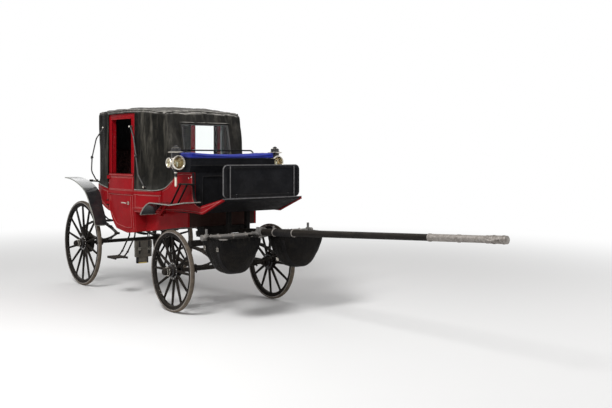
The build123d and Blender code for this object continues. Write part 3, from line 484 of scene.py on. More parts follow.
wheelPlaces = ("rear_left", "rear_right", "front_left", "front_right")
finishUse = {
    "coachRed": ("coach_red", "well_sides", "boot_sides", "cabin_front_board"),
    "redWithShadedLining": (
        "coach_red", "rear_quarter_panels", "front_quarter_panels", "window_frames", "left_door",
        "right_door",
    ),
    "stripeCream": ("coach_red",),
    "floorWood": ("floor_wood", "bottom_boards", "passenger_seat_boxes"),
    "boxLeather": ("box_leather", "boot_front_panel", "driver_seat_box", "dashboard", "toe_board"),
    "ironBlack": (
        "ironwork_black", "rear_springs", "front_springs", "rear_axle", "front_axle", "body_irons",
        "turntable", "fore_frame", "driver_steps", "hood_rests", "passenger_steps", "door_hinges",
    ),
    "fenderBlack": ("ironwork_black", "rear_fenders", "front_fenders"),
    "ironGrey": ("ironwork_black", "hood_irons"),
    "barGrey": ("ironwork_black", "splinter_bar"),
    "dullSteel": ("ironwork_black", "pole_head"),
    "railGrey": ("ironwork_black",),
    "poleBlack": ("pole_black", "pole"),
    "nickel": ("handle_nickel", "left_door_handle", "right_door_handle", "lamps"),
    "clearGlass": ("window_glass", "front_window_glass"),
    "lampGlass": ("window_glass",),
    "hoodLeather": ("hood_leather", "rear_hood", "front_hood"),
    "hoodLining": ("hood_leather",),
    "paleBead": ("hood_leather",),
    "seatBlue": ("seat_blue", "driver_cushion"),
    "pipingBlue": ("seat_blue",),
    "cabinLeather": ("cabin_leather", "passenger_cushions", "passenger_backs"),
    "bagBlack": ("bag_black", "dung_bags"),
    "canvasGrey": ("canvas_grey", "tool_pouches"),
    "bandYellow": ("canvas_grey",),
    "wheelBlack": ("wheel_black", *(place + "_wheel" for place in wheelPlaces)),
    "tyreRubber": ("tyre_rubber", *(place + "_tyre" for place in wheelPlaces)),
    "candleCream": ("lamp_nickel",),
    "reflector": ("lamp_nickel",),
}

for wears, (slot, *worn) in finishUse.items():
    for name in worn:
        for socket in nodes[name].material_slots:
            socket.link = "OBJECT"
            socket.material = finish[wears]


# Shape helpers: everything is shaped with x from the rear axle, and makePiece moves it into the shared frame


def makePiece(name, bm, looks, rider, sharp=40, mend=True, stands=None):
    bmesh.ops.translate(bm, vec=at(0, 0, 0), verts=bm.verts)
    if mend:
        bmesh.ops.remove_doubles(bm, verts=bm.verts, dist=0.00002)
        bmesh.ops.recalc_face_normals(bm, faces=bm.faces)
    looks = (looks,) if isinstance(looks, str) else looks
    mesh = bpy.data.meshes.new(name)
    bm.to_mesh(mesh)
    bm.free()
    for wears in looks:
        mesh.materials.append(finish[wears])
    mesh.polygons.foreach_set("use_smooth", [True] * len(mesh.polygons))
    mesh.set_sharp_from_angle(angle=math.radians(sharp))
    piece = link(bpy.data.objects.new(name, mesh))
    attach(piece, rider)
    if stands:
        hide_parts(stands)
    return piece


def bothSides(bm):
    copy = bmesh.ops.duplicate(bm, geom=bm.verts[:] + bm.edges[:] + bm.faces[:])["geom"]
    bmesh.ops.scale(bm, vec=(1, -1, 1), verts=[g for g in copy if isinstance(g, bmesh.types.BMVert)])
    bmesh.ops.reverse_faces(bm, faces=[g for g in copy if isinstance(g, bmesh.types.BMFace)])


def makePairs(rider, *rows):
    # each row is a piece's name, left-hand mesh and finish, and the node it stands for if any
    for name, bm, looks, *stands in rows:
        bothSides(bm)
        makePiece(name, bm, looks, rider, stands=stands[0] if stands else None)


def between(start, end, share):
    return tuple(a + (b - a) * share for a, b in zip(start, end))


def alongRun(corners, count, closed=False):
    # count places on each straight, and the last corner where the run is open
    ends = corners[1:] + corners[:1] if closed else corners[1:]
    places = [between(a, b, i / count) for a, b in zip(corners, ends) for i in range(count)]
    return places if closed else places + corners[-1:]


def wireInto(bm, points, radius, closed=False, smooth=False, roundness=2):
    curve = bpy.data.curves.new("wire", "CURVE")
    curve.dimensions = "3D"
    curve.bevel_depth = radius
    curve.bevel_resolution = roundness
    curve.use_fill_caps = True
    curve.resolution_u = 6
    spline = curve.splines.new("NURBS" if smooth else "POLY")
    spline.points.add(len(points) - 1)
    for spot, point in zip(spline.points, points):
        spot.co = (*point, 1)
    spline.use_cyclic_u = closed
    if smooth:
        spline.use_endpoint_u = not closed
        spline.order_u = 3
    holder = bpy.data.objects.new("wire", curve)
    mesh = bpy.data.meshes.new_from_object(holder)
    bm.from_mesh(mesh)
    bpy.data.objects.remove(holder)
    bpy.data.curves.remove(curve)
    bpy.data.meshes.remove(mesh)


def turnInto(bm, profile, centre, axis, steps=32):
    # a (radius, height) profile spun about an axis, closed unless it starts on it
    axis, centre = Vector(axis), Vector(centre)
    side = axis.orthogonal().normalized()
    if profile[0][0] > 0:
        profile = [*profile, profile[0]]
    spots = [bm.verts.new(centre + axis * high + side * radius) for radius, high in profile]
    edges = [bm.edges.new(pair) for pair in zip(spots, spots[1:])]
    geometry = spots + edges
    bmesh.ops.spin(bm, geom=geometry, cent=centre, axis=axis, angle=math.tau, steps=steps, use_merge=True)


def ringInto(bm, base, axis, inner, outer, low, high, steps=96):
    turnInto(bm, [(inner, low), (outer, low), (outer, high), (inner, high)], base, axis, steps)


def domeInto(bm, centre, radius, facing, height=0.6):
    turn = Vector(facing).to_track_quat("Z", "Y").to_matrix().to_4x4()
    shape = Matrix.Translation(centre) @ turn @ Matrix.Diagonal((1, 1, height, 1))
    bmesh.ops.create_uvsphere(bm, u_segments=8, v_segments=6, radius=radius, matrix=shape)


def boltsInto(bm, centre, axis, radius, count, size, start=0.0):
    side = Vector(axis).orthogonal().normalized()
    for i in range(count):
        arm = Matrix.Rotation(start + math.tau * i / count, 3, Vector(axis)) @ side
        domeInto(bm, Vector(centre) + arm * radius, size, axis, 0.55)


def nutInto(bm, centre, facing, size=0.010, tall=0.007):
    flat = [(0, 0), (size, 0), (size, tall), (0, tall)]
    turnInto(bm, flat, centre, facing, 6)
    stub = [(0, tall), (size * 0.5, tall), (size * 0.45, tall * 1.8), (0, tall * 1.9)]
    turnInto(bm, stub, centre, facing, 10)


def bevelled(bm, edges, width, segments):
    bmesh.ops.bevel(bm, geom=edges, offset=width, segments=segments, affect="EDGES", profile=0.5, material=-1)


def blockInto(bm, low, high, edge=0.003, segments=2):
    low, high = Vector(low), Vector(high)
    shape = Matrix.Translation((low + high) / 2) @ Matrix.Diagonal((*(high - low), 1))
    made = bmesh.ops.create_cube(bm, size=1, matrix=shape)["verts"]
    bevelled(bm, list({e for v in made for e in v.link_edges}), edge, segments)


def cutUnitBlock(bm, cuts):
    # cuts across each of the unit block's three directions
    for axis, count in enumerate(cuts):
        lines = [e for e in bm.edges if abs((e.verts[0].co - e.verts[1].co)[axis]) > 0.5]
        bmesh.ops.subdivide_edges(bm, edges=lines, cuts=count, use_grid_fill=True)


def gridInto(bm, across, along, where):
    # a grid whose places come from (u, v), each running from 0 to 1
    made = bmesh.ops.create_grid(bm, x_segments=across, y_segments=along, size=0.5)["verts"]
    for v in made:
        v.co = where(v.co.x + 0.5, v.co.y + 0.5)
    return made


def closeInto(bm, verts):
    bmesh.ops.remove_doubles(bm, verts=verts, dist=0.00002)
    edges = {e for v in verts if v.is_valid for e in v.link_edges if e.is_boundary}
    bmesh.ops.holes_fill(bm, edges=list(edges), sides=0)


def smoothStep(low, high, value):
    share = min(max((value - low) / (high - low), 0), 1)
    return share * share * (3 - 2 * share)


def wander(x, y, z):
    return noise.noise(Vector((x, y, z)))


# The body's barrel side, as the panels have it

body = {
    "middleX": 1.02, "halfWidth": 0.615, "radius": 3.3485, "sillTuck": 0.030, "shoulderTuck": 0.009,
    "lowZ": 0.690, "middleZ": 1.120, "sillZ": 1.450,
}


def bodySide(x, z, out=0.0):
    low, middle, sill = body["lowZ"], body["middleZ"], body["sillZ"]
    z = min(z, sill)
    tuck = -body["sillTuck"] * (z - middle) * (z - sill) / ((low - middle) * (low - sill))
    tuck -= body["shoulderTuck"] * (z - low) * (z - middle) / ((sill - low) * (sill - middle))
    reach = body["radius"] + tuck + out
    return body["halfWidth"] - body["radius"] + math.sqrt(reach**2 - (x - body["middleX"]) ** 2)


def onSide(corners, out, closed=True):
    # places on the left side, 60 mm apart along the straights between (x, z) corners
    places = []
    for start, end in zip(corners, corners[1:] + corners[:1] if closed else corners[1:]):
        count = max(1, round(math.dist(start, end) / 0.06))
        places += [between(start, end, i / count) for i in range(count)]
    if not closed:
        places.append(corners[-1])
    return [(x, bodySide(x, z, out), z) for x, z in places]


# Hood: "cut" has each half's flat leather, as (width, length) and area

hood = {
    "rearX": 0.146, "splitX": 0.991, "standOut": 0.003, "foot": 1.262, "rearFoot": 1.312, "doorRearX": 0.655,
    "roofZ": 2.250, "roofMiddleX": 1.02, "rearDrop": 0.006, "frontDrop": 0.058, "roofFall": 0.0355,
    "frontFootX": 2.062, "frontFootZ": 1.400, "lean": 0.223, "frontWidthX": 1.89, "corner": 0.055,
    "bows": (0.17, 0.50, 0.80, 1.18, 1.52, 1.86),
    "sag": 0.013, "fold": 0.018, "swell": 0.026, "deepest": 0.016,
    "leather": 0.006, "across": 72, "tall": 74, "longStep": 0.015, "edgeX": 1.88, "tailX": 0.16,
    "openRearX": 0.629, "openFrontX": 1.353, "openTopZ": 2.165,
    "windowHalf": 0.315, "windowLow": 1.622, "windowHigh": 2.020,
    "cut": {-1: ((3.10, 1.77), 2.75), 1: ((3.10, 1.74), 2.70)},
}


def hoodHalf(x):
    wide = min(x, hood["frontWidthX"])
    return bodySide(wide, body["middleX"] + 0.1) + hood["standOut"] - 0.039 * max(0, x - wide)


def hoodRoof(x, y):
    before = x < hood["roofMiddleX"]
    drop, reach = (hood["rearDrop"], 0.79) if before else (hood["frontDrop"], 0.81)
    fall = hood["roofFall"] * (y / body["halfWidth"]) ** 2
    return hood["roofZ"] - drop * ((x - hood["roofMiddleX"]) / reach) ** 2 - fall


def hoodFoot(x):
    if x < hood["doorRearX"]:
        return hood["rearFoot"] + (hood["foot"] - hood["rearFoot"]) * (x - 0.155) / 0.5
    return min(hood["foot"] + 0.155 * max(0, (x - 1.70) / 0.396) ** 2.2, hood["frontFootZ"])


def hoodFrontX(z):
    return hood["frontFootX"] - hood["lean"] * (z - hood["frontFootZ"])


def hoodSag(base, outward, z):
    # dips between the bows, deepest in the middle of the roof and slight on the sides
    for low, high in zip(hood["bows"], hood["bows"][1:]):
        if low < base.x < high:
            dip = hood["sag"] * math.sin(math.pi * (base.x - low) / (high - low)) ** 2
            return dip * (max(outward.z, 0) ** 2 + 0.35 * abs(outward.y) * smoothStep(1.4, 1.9, z))
    return 0


def hoodFolds(base, end):
    # upright folds that the hide keeps from being let down
    x, y, z = base
    flutes = wander(x * 11, y * 11, z * 1.1 + 5 * end)
    valley = wander(x * 6.5 + 2, y * 6.5, z * 0.8 + 3 * end)
    flutes -= 0.7 * max(0, 1 - 8 * abs(valley)) + 0.3
    broad = wander(x * 4.2 + 9, y * 4.2, z * 0.6 + 7 * end)
    return hood["fold"] * flutes + hood["swell"] * broad + 0.0022 * wander(x * 34, y * 34, z * 4)


def hoodPoint(x, y, z, end, lift=0.0, loose=1.0):
    # end is -1 for the rear half and 1 for the front half; the point lies on the square cornered form
    half, roof, corner = hoodHalf(x), hoodRoof(x, y), hood["corner"]
    side = 1 if y > 0 else -1
    reach = [x - hood["rearX"] if end < 0 else hoodFrontX(z) - x, half - abs(y), roof - z]
    lean = Vector([max(corner - part, 0) for part in reach])
    if lean.length > corner:
        reach = [corner - gap * corner / lean.length if gap > 0 else part for gap, part in zip(lean, reach)]
    outward = lean.normalized() * Vector((end, side, 1))
    newX = hood["rearX"] + reach[0] if end < 0 else hoodFrontX(z) - reach[0]
    base = Vector((newX, side * (half - reach[1]), roof - reach[2]))
    fromDoor = max(hood["openRearX"] - x, x - hood["openFrontX"], z - hood["openTopZ"])
    slack = smoothStep(0, 0.07, z - hoodFoot(x)) * (0.2 + 0.8 * smoothStep(0, 0.09, fromDoor))
    folds = hoodFolds(base, end) * slack * (1 - 0.75 * max(outward.z, 0))
    # the bows and lining below stop a fold from going in deeper
    if folds < 0:
        folds = -hood["deepest"] * math.tanh(-folds / hood["deepest"])
    return base + outward * (lift - hoodSag(base, outward, z) + loose * folds)


def hoodPlace(u, across, up, end):
    # where a corner of the unit block lands on the hood
    if end < 0:
        x = hood["rearX"] + u * (hood["splitX"] - hood["rearX"])
    else:
        guess = hood["splitX"] + u * (hood["frontFootX"] + 0.02 - hood["splitX"])
        high = hoodFoot(guess) + up * (hoodRoof(guess, 0) - hoodFoot(guess))
        x = hood["splitX"] + u * (hoodFrontX(high) - hood["splitX"])
    y = across * 2 * hoodHalf(x)
    z = hoodFoot(x) + up * (hoodRoof(x, y) - hoodFoot(x))
    if end > 0:
        x = hoodFrontX(z) if u > 0.9999 else min(x, hoodFrontX(z))
    return hoodPoint(x, y, z, end)


def cutOut(bm, planes, inside):
    for place, facing in planes:
        everything = bm.verts[:] + bm.edges[:] + bm.faces[:]
        bmesh.ops.bisect_plane(bm, geom=everything, plane_co=place, plane_no=facing)
    bmesh.ops.delete(bm, geom=[f for f in bm.faces if inside(f, f.calc_center_median())], context="FACES")


def makeHoodHalf(end, name, node):
    bm = bmesh.new()
    bmesh.ops.create_cube(bm, size=1, matrix=Matrix.Translation((0.5, 0, 0.5)))
    bare = [f for f in bm.faces if f.normal.z < -0.9 or f.normal.x * end < -0.9]
    bmesh.ops.delete(bm, geom=bare, context="FACES_ONLY")
    last = hood["rearX"] if end < 0 else hood["frontFootX"]
    cutUnitBlock(bm, (round(abs(last - hood["splitX"]) / hood["longStep"]), hood["across"], hood["tall"]))
    for v in bm.verts:
        v.co = hoodPlace(*v.co, end)
    bm.normal_update()
    low, high, top = hood["openRearX"], hood["openFrontX"], hood["openTopZ"]
    cutOut(
        bm, [((low, 0, 0), (1, 0, 0)), ((high, 0, 0), (1, 0, 0)), ((0, 0, top), (0, 0, 1))],
        lambda face, middle: low < middle.x < high and middle.z < top,
    )
    if end > 0:
        half, bottom, head = hood["windowHalf"], hood["windowLow"], hood["windowHigh"]
        sides = [((0, y, 0), (0, 1, 0)) for y in (-half, half)]
        sides += [((0, 0, z), (0, 0, 1)) for z in (bottom, head)]
        cutOut(
            bm, sides,
            lambda face, middle: face.normal.x > 0.5 and abs(middle.y) < half and bottom < middle.z < head,
        )
    piece = makePiece(name, bm, ("hoodLeather", "hoodLining"), "carriage_body", sharp=60, stands=node)
    wall = piece.modifiers.new("wall", "SOLIDIFY")
    wall.thickness = hood["leather"]
    wall.offset = -1
    wall.material_offset = 1


makeHoodHalf(-1, "rear_hood_leather", "rear_hood")
makeHoodHalf(1, "front_hood_leather", "front_hood")
print("hood leather made")


# Mouldings and painted lines

trim = {"line": 0.0023, "bead": 0.0065, "lift": 0.001}
outlines = {
    "doorPanel": [
        (0.707, 1.20), (0.707, 1.0), (0.737, 0.960), (0.800, 0.902), (0.870, 0.842), (1.0, 0.820),
        (1.15, 0.802), (1.275, 0.814), (1.275, 1.20),
    ],
    "doorUpper": [(0.684, 1.262), (1.298, 1.262), (1.298, 1.398), (0.684, 1.398)],
    "frontPanel": [(1.362, 1.204), (1.362, 1.064), (1.800, 1.064), (1.800, 1.204)],
    "rearPanel": [
        (0.212, 1.258), (0.620, 1.222), (0.620, 1.032), (0.520, 1.054), (0.425, 1.082), (0.350, 1.112),
        (0.285, 1.158), (0.240, 1.206),
    ],
    "window": [(0.668, 1.458), (0.668, 2.152), (1.314, 2.152), (1.314, 1.458)],
    "windowInner": [(0.721, 1.456), (0.721, 2.101), (1.261, 2.101), (1.261, 1.456)],
    "tail": [
        (0.160, 1.300), (0.185, 1.232), (0.235, 1.148), (0.300, 1.092), (0.400, 1.056), (0.520, 1.024),
        (0.650, 0.994),
    ],
    "boxSweep": [
        (1.850, 1.262), (1.900, 1.276), (1.975, 1.302), (2.050, 1.352), (2.120, 1.412), (2.180, 1.450),
        (2.300, 1.462), (2.470, 1.462),
    ],
    "boxFoot": [(1.850, 1.058), (2.300, 1.076), (2.690, 1.067), (3.052, 1.208)],
    "boxFront": [
        (2.478, 1.462), (2.486, 1.250), (2.500, 1.190), (2.530, 1.150), (2.600, 1.122), (2.660, 1.113),
        (3.050, 1.204),
    ],
    "boxSill": [(1.835, 1.046), (2.300, 1.065), (2.692, 1.056), (3.070, 1.204)],
    "boxEdge": [
        (2.500, 1.478), (2.508, 1.250), (2.522, 1.195), (2.548, 1.163), (2.600, 1.140), (2.652, 1.131),
    ],
}


def shrunk(corners, gap):
    ends = [(min(c), max(c)) for c in zip(*corners)]
    middle = [sum(c) / len(corners) for c in zip(*corners)]
    shares = [1 - 2 * gap / (high - low) for low, high in ends]
    return [tuple(m + (c - m) * s for c, m, s in zip(corner, middle, shares)) for corner in corners]


def bandInto(bm, x0, x1, z0, z1, out, chamfer=0.003):
    # a raised band that follows the barrel side
    base = -0.004
    section = [(z0, base), (z0, out - chamfer), (z0 + chamfer, out)]
    section += [(z1 - chamfer, out), (z1, out - chamfer), (z1, base)]
    corners = section + section[:1]
    last = len(section)

    def where(u, v):
        x = x0 + u * (x1 - x0)
        z, lift = corners[min(round(v * last), last)]
        return x, bodySide(x, z, lift), z

    closeInto(bm, gridInto(bm, max(4, round(abs(x1 - x0) / 0.04)), last, where))


def sideLine(bm, out, size, *corners):
    wireInto(bm, onSide(list(corners), out, closed=False), size)


def makeDoorTrim(hand):
    bead, line, lift = trim["bead"], trim["line"], trim["lift"]
    red, cream = bmesh.new(), bmesh.new()
    bandInto(red, 0.662, 1.320, 1.204, 1.244, 0.007)
    bandInto(red, 0.662, 1.320, 1.418, 1.446, 0.010)
    sideLine(red, -0.001, bead, *outlines["doorPanel"])
    sideLine(cream, -0.003, line, *shrunk(outlines["doorPanel"], 0.014))
    wireInto(cream, onSide(outlines["doorUpper"], lift), line)
    for z, out in ((1.198, lift), (1.250, lift), (1.411, lift), (1.432, 0.0105)):
        sideLine(cream, out, line, (0.666, z), (1.316, z))
    for x, foot in ((0.674, 1.0), (1.309, 0.80)):
        sideLine(cream, lift, 0.7 * line, (x, 1.19), (x, foot))
    for label, bm, look in (("mouldings", red, "coachRed"), ("lines", cream, "stripeCream")):
        if hand == "right":
            bmesh.ops.scale(bm, vec=(1, -1, 1), verts=bm.verts)
            bmesh.ops.reverse_faces(bm, faces=bm.faces)
        makePiece(f"{hand}_door_{label}", bm, look, f"{hand}_door")


def makeBodyTrim():
    bead, line, lift = trim["bead"], trim["line"], trim["lift"]
    red, cream, black = bmesh.new(), bmesh.new(), bmesh.new()
    for panel in ("frontPanel", "rearPanel"):
        wireInto(cream, onSide(outlines[panel], lift), line)
        wireInto(red, onSide(shrunk(outlines[panel], -0.012), -0.002), 0.8 * bead)
    bandInto(red, 1.329, 1.829, 1.216, 1.246, 0.007)
    bandInto(red, 1.329, 1.829, 1.031, 1.049, 0.008)
    for z, reach in ((1.251, 1.705), (1.211, 1.829), (1.0535, 1.829), (1.0305, 1.829)):
        sideLine(cream, lift + 0.001, line, (1.331, z), (reach, z))
    sideLine(cream, -0.004, line, (1.335, 1.012), (1.826, 1.012))
    # belt round the tail and the tail's curved edge
    sideLine(red, -0.001, bead, *outlines["tail"])
    sideLine(cream, lift, 0.8 * line, *((x + 0.012, z + 0.015) for x, z in outlines["tail"]))
    bandInto(red, 0.158, 0.650, 1.246, 1.262, 0.004)
    # window frames: a bead at the opening and one near the outer edge
    sideLine(red, -0.006, 0.007, *outlines["windowInner"])
    sideLine(red, -0.0065, 0.004, *shrunk(outlines["window"], 0.030))
    # the box sides: lines along the sweep, the foot and the front, and the leather's edging
    for bm, outline, y, size, smooth in (
        (cream, "boxSweep", 0.5065, line, False), (cream, "boxFoot", 0.5065, line, False),
        (cream, "boxFront", 0.5065, line, False), (red, "boxSill", 0.505, 0.008, False),
        (black, "boxEdge", 0.496, 0.011, True), (black, "boxEdge", 0.508, 0.006, True),
    ):
        wireInto(bm, [(x, y, z) for x, z in outlines[outline]], size, smooth=smooth)
    # diagonal strut below the wing
    strut = [(1.985, 0.545, 1.134), (1.972, 0.540, 1.106), (1.842, 0.540, 1.003), (1.825, 0.490, 0.990)]
    wireInto(red, strut, 0.014)
    makePairs(
        "carriage_body", ("body_mouldings", red, "coachRed"), ("body_lines", cream, "stripeCream"),
        ("boot_edging", black, "boxLeather"),
    )


for hand in ("left", "right"):
    makeDoorTrim(hand)
makeBodyTrim()
print("mouldings and lines made")


# Hood trim


hoodTrim = {
    "bead": 0.0055, "welt": 0.0085, "cornerSeam": 0.006, "doorRoll": 0.0065, "hem": 0.0022, "hemGap": 0.055,
    "bowRoll": 0.004, "splitRoll": 0.0105, "roofHalf": 0.54, "binding": 0.012, "windowTimber": 0.008,
}


def hoodEdge(places, side, lift):
    return [hoodPoint(x, side * hoodHalf(x), z, -1 if x < hood["splitX"] else 1, lift) for x, z in places]


def makeSideTrim(bead, welt, seam, side):
    # bright bead on the hood's bottom edge
    for start, length, count in ((hood["tailX"], 0.469, 12), (hood["openFrontX"], 0.705, 24)):
        run = [start + length * i / count for i in range(count + 1)]
        wireInto(bead, hoodEdge([(x, hoodFoot(x) + 0.004) for x in run], side, 0.004), hoodTrim["bead"])
    # eave: a rolled welt where roof and side meet
    points = []
    for x in [0.20 + i * 0.012 for i in range(138)]:
        half, end = hoodHalf(x), -1 if x < hood["splitX"] else 1
        bump = 0.005 * wander(x * 14, side * 3, 0.5)
        points.append(hoodPoint(x, side * half, hoodRoof(x, half), end, 0.001 + bump))
    wireInto(welt, points, hoodTrim["welt"], roundness=3)
    # front corner's seam, down the face's edge
    low, high = hood["frontFootZ"] + 0.01, hoodRoof(hood["edgeX"], 0.56) - 0.03
    heights = [low + (high - low) * i / 39 for i in range(40)]
    wireInto(welt, hoodEdge([(hoodFrontX(z), z) for z in heights], side, 0.001), hoodTrim["cornerSeam"])
    # rolls that bind the door opening, and stitched hems beside it
    rear, front, top = hood["openRearX"], hood["openFrontX"], hood["openTopZ"]
    posts = [(rear, hoodFoot(rear) + 0.01), (rear, top), (front, top), (front, hoodFoot(front) + 0.01)]
    for post in zip(posts, posts[1:]):
        wireInto(seam, hoodEdge(alongRun(list(post), 24), side, 0.002), hoodTrim["doorRoll"])
    for x in (rear - hoodTrim["hemGap"], front + hoodTrim["hemGap"]):
        run = [(x, hoodFoot(x) + 0.02 + (2.13 - hoodFoot(x)) * i / 50) for i in range(50)]
        wireInto(seam, hoodEdge(run, side, 0.0005), hoodTrim["hem"])


def makeHoodTrim():
    bead, welt, seam, timber = bmesh.new(), bmesh.new(), bmesh.new(), bmesh.new()
    for side in (-1, 1):
        makeSideTrim(bead, welt, seam, side)
    # rolls across the roof at the split and over each bow
    for x in hood["bows"][1:-1] + (hood["splitX"],):
        half, end = hoodHalf(x) - 0.03, -1 if x < hood["splitX"] else 1
        run = [half * (2 * i / 40 - 1) for i in range(41)]
        size = hoodTrim["splitRoll" if x == hood["splitX"] else "bowRoll"]
        wireInto(seam, [hoodPoint(x, y, hoodRoof(x, y), end) for y in run], size)
    # front and rear edges of the roof
    for end, roofX in ((1, hood["edgeX"]), (-1, hood["tailX"])):
        points = []
        for y in [hoodTrim["roofHalf"] * (2 * i / 50 - 1) for i in range(51)]:
            z = hoodRoof(roofX, y)
            points.append(hoodPoint(hoodFrontX(z) if end > 0 else hood["rearX"], y, z, end, 0.001))
        wireInto(welt, points, hoodTrim["welt"], roundness=3)
    # front window: leather binding outside, a thin wooden frame inside
    for grow, size, bm, push in (
        (0.012, hoodTrim["binding"], seam, -0.002), (-0.007, hoodTrim["windowTimber"], timber, -0.006),
    ):
        half, bottom, top = hood["windowHalf"] + grow, hood["windowLow"] - grow, hood["windowHigh"] + grow
        ring = alongRun([(-half, bottom), (half, bottom), (half, top), (-half, top)], 12, closed=True)
        wireInto(bm, [(hoodFrontX(z) + push, y, z) for y, z in ring], size, closed=True)
    for name, bm, look in (
        ("hood_bead", bead, "paleBead"), ("hood_welts", welt, "hoodLeather"),
        ("hood_seams", seam, "hoodLeather"), ("front_window_frame", timber, "ironGrey"),
    ):
        makePiece(name, bm, look, "carriage_body")


makeHoodTrim()
print("hood trim made")


# Carriage lamps

lampPlan = {
    "x": 2.400, "y": 0.650, "z": 1.585,
    # radius of each circle of bolts, their number and size, and the first one's turn
    "cowlBolts": (0.0465, 10, 0.0045), "rimBolts": (0.072, 4, 0.0035, 0.6),
    "arm": ((2.380, 0.546, 1.548), (2.380, 0.566, 1.549), (2.380, 0.588, 1.556)), "armThick": 0.0105,
    "clip": ((2.358, 0.549, 1.522), (2.402, 0.557, 1.574)), "clipBoltZ": (1.530, 1.566), "clipBolt": 0.006,
}

# Turned parts of a lamp: axis and base point, then each part's mesh, steps and (radius, height) profile in mm
lampTurns = (
    # front drum with its bell, opening forward
    ((1, 0, 0), (6, 0, 0), (
        ("black", 56, [(30, -60), (58, -56), (70, -40), (72, 46), (66, 46), (64, -30), (30, -52)]),
    )),
    ((1, 0, 0), (0, 0, 0), (
        ("bright", 64, [(62, 40), (62, 58), (66, 63), (72, 64), (78, 60), (80, 52), (78, 44), (72, 40)]),
        ("bright", 56, [(70, -2), (74.5, 1), (74.5, 7), (70, 10)]),
        ("glassy", 48, [(0, 67), (22, 65.5), (44, 61), (63, 52), (63, 49), (44, 58), (22, 62.5), (0, 64)]),
        ("mirror", 48, [
            (0, -30), (18, -28), (36, -16), (50, 6), (60, 36), (63, 44), (66, 40), (52, 0), (20, -34),
            (0, -36),
        ]),
    )),
    # side drum, opening outward
    ((0, 1, 0), (-8, 12, 0), (("black", 44, [(0, 46), (46, 48), (49.5, 70), (44, 70), (42, 56), (0, 54)]),)),
    ((0, 1, 0), (-8, 8, 0), (
        ("bright", 52, [(41, 66), (41, 80), (45, 84), (51, 83), (55, 77), (54, 69), (49, 65)]),
    )),
    ((0, 1, 0), (-8, 6, 0), (
        ("glassy", 40, [(0, 88), (20, 86), (42, 78), (42, 75), (20, 83), (0, 85)]),
        ("mirror", 40, [(0, 64), (24, 66), (38, 71), (42.5, 78), (44, 74), (38, 66), (0, 61)]),
    )),
    # chimney: stacked brims and a cowl; below it the cup, socket, sleeve and ferrules of the candle tube
    ((0, 0, 1), (-4, 0, 0), (
        ("black", 40, [(0, 56), (56, 56), (58, 62), (50, 70), (50, 98), (56, 102), (0, 102)]),
        ("bright", 48, [(0, 101), (70, 103), (83, 108), (84, 114), (78, 117), (56, 121), (0, 121)]),
        ("black", 40, [(0, 120), (52, 121), (54, 127), (47, 131), (46, 145), (50, 148), (46, 153), (0, 153)]),
        ("bright", 40, [(0, 152), (40, 153), (42, 157), (30, 161), (0, 161)]),
        ("black", 32, [(0, 160), (24, 162), (26, 168), (18, 176), (8, 181), (0, 182)]),
        ("black", 36, [(0, -56), (44, -58), (40, -70), (26, -82), (19, -100), (0, -100)]),
        ("bright", 32, [(0, -98), (19.5, -99), (21, -104), (19.5, -110), (0, -110)]),
        ("black", 28, [(0, -108), (14.5, -109), (14.5, -150), (0, -150)]),
        ("bright", 28, [(0, -148), (16, -149), (16.5, -153), (15, -157), (0, -157)]),
        ("cream", 28, [(0, -155), (12.8, -156), (12.5, -236), (10, -246), (0, -250)]),
        ("bright", 24, [(0, -244), (11.5, -245), (11.5, -251), (6, -256), (0, -258)]),
    )),
    # candle inside, seen through the front glass
    ((0, 0, 1), (20, 0, 0), (("cream", 16, [(0, -40), (9, -40), (9, 4), (6, 8), (0, 9)]),)),
)


def lampPlace(x, y, z):
    return Vector((lampPlan["x"] + x / 1000, lampPlan["y"] + y / 1000, lampPlan["z"] + z / 1000))


def makeLamps():
    meshes = {kind: bmesh.new() for kind in ("black", "bright", "glassy", "mirror", "cream", "iron")}
    black, bright, iron = meshes["black"], meshes["bright"], meshes["iron"]
    for axis, base, turned in lampTurns:
        for kind, steps, profile in turned:
            profile = [(radius / 1000, high / 1000) for radius, high in profile]
            turnInto(meshes[kind], profile, lampPlace(*base), axis, steps)
    blockInto(black, lampPlace(-56, -62, -60), lampPlace(-34, 56, 60), 0.009, 3)
    boltsInto(black, lampPlace(-4, 0, 140), (0, 0, 1), *lampPlan["cowlBolts"])
    boltsInto(bright, lampPlace(62, 0, 0), (1, 0, 0), *lampPlan["rimBolts"])
    # arm to the seat box, with its clip and bolts
    wireInto(iron, lampPlan["arm"], lampPlan["armThick"])
    blockInto(iron, *lampPlan["clip"], 0.002)
    for z in lampPlan["clipBoltZ"]:
        domeInto(bright, (2.380, 0.558, z), lampPlan["clipBolt"], (0, 1, 0))
    makePairs(
        "carriage_body", ("lamp_cases", black, "fenderBlack", "lamps"), ("lamp_rims", bright, "nickel"),
        ("lamp_glasses", meshes["glassy"], "lampGlass"), ("lamp_reflectors", meshes["mirror"], "reflector"),
        ("lamp_candles", meshes["cream"], "candleCream"), ("lamp_arms", iron, "ironBlack"),
    )


makeLamps()
print("lamps made")


# Cushions and other padded pieces


def meshOf(piece):
    bpy.context.view_layer.update()
    return bpy.data.meshes.new_from_object(piece.evaluated_get(bpy.context.evaluated_depsgraph_get()))


def padInto(bm, cuts, where):
    # a block with (u, v, t) from 0 to 1 along its three sides
    bmesh.ops.create_cube(bm, size=1, matrix=Matrix.Translation((0.5, 0.5, 0.5)))
    cutUnitBlock(bm, cuts)
    for v in bm.verts:
        v.co = where(*v.co)


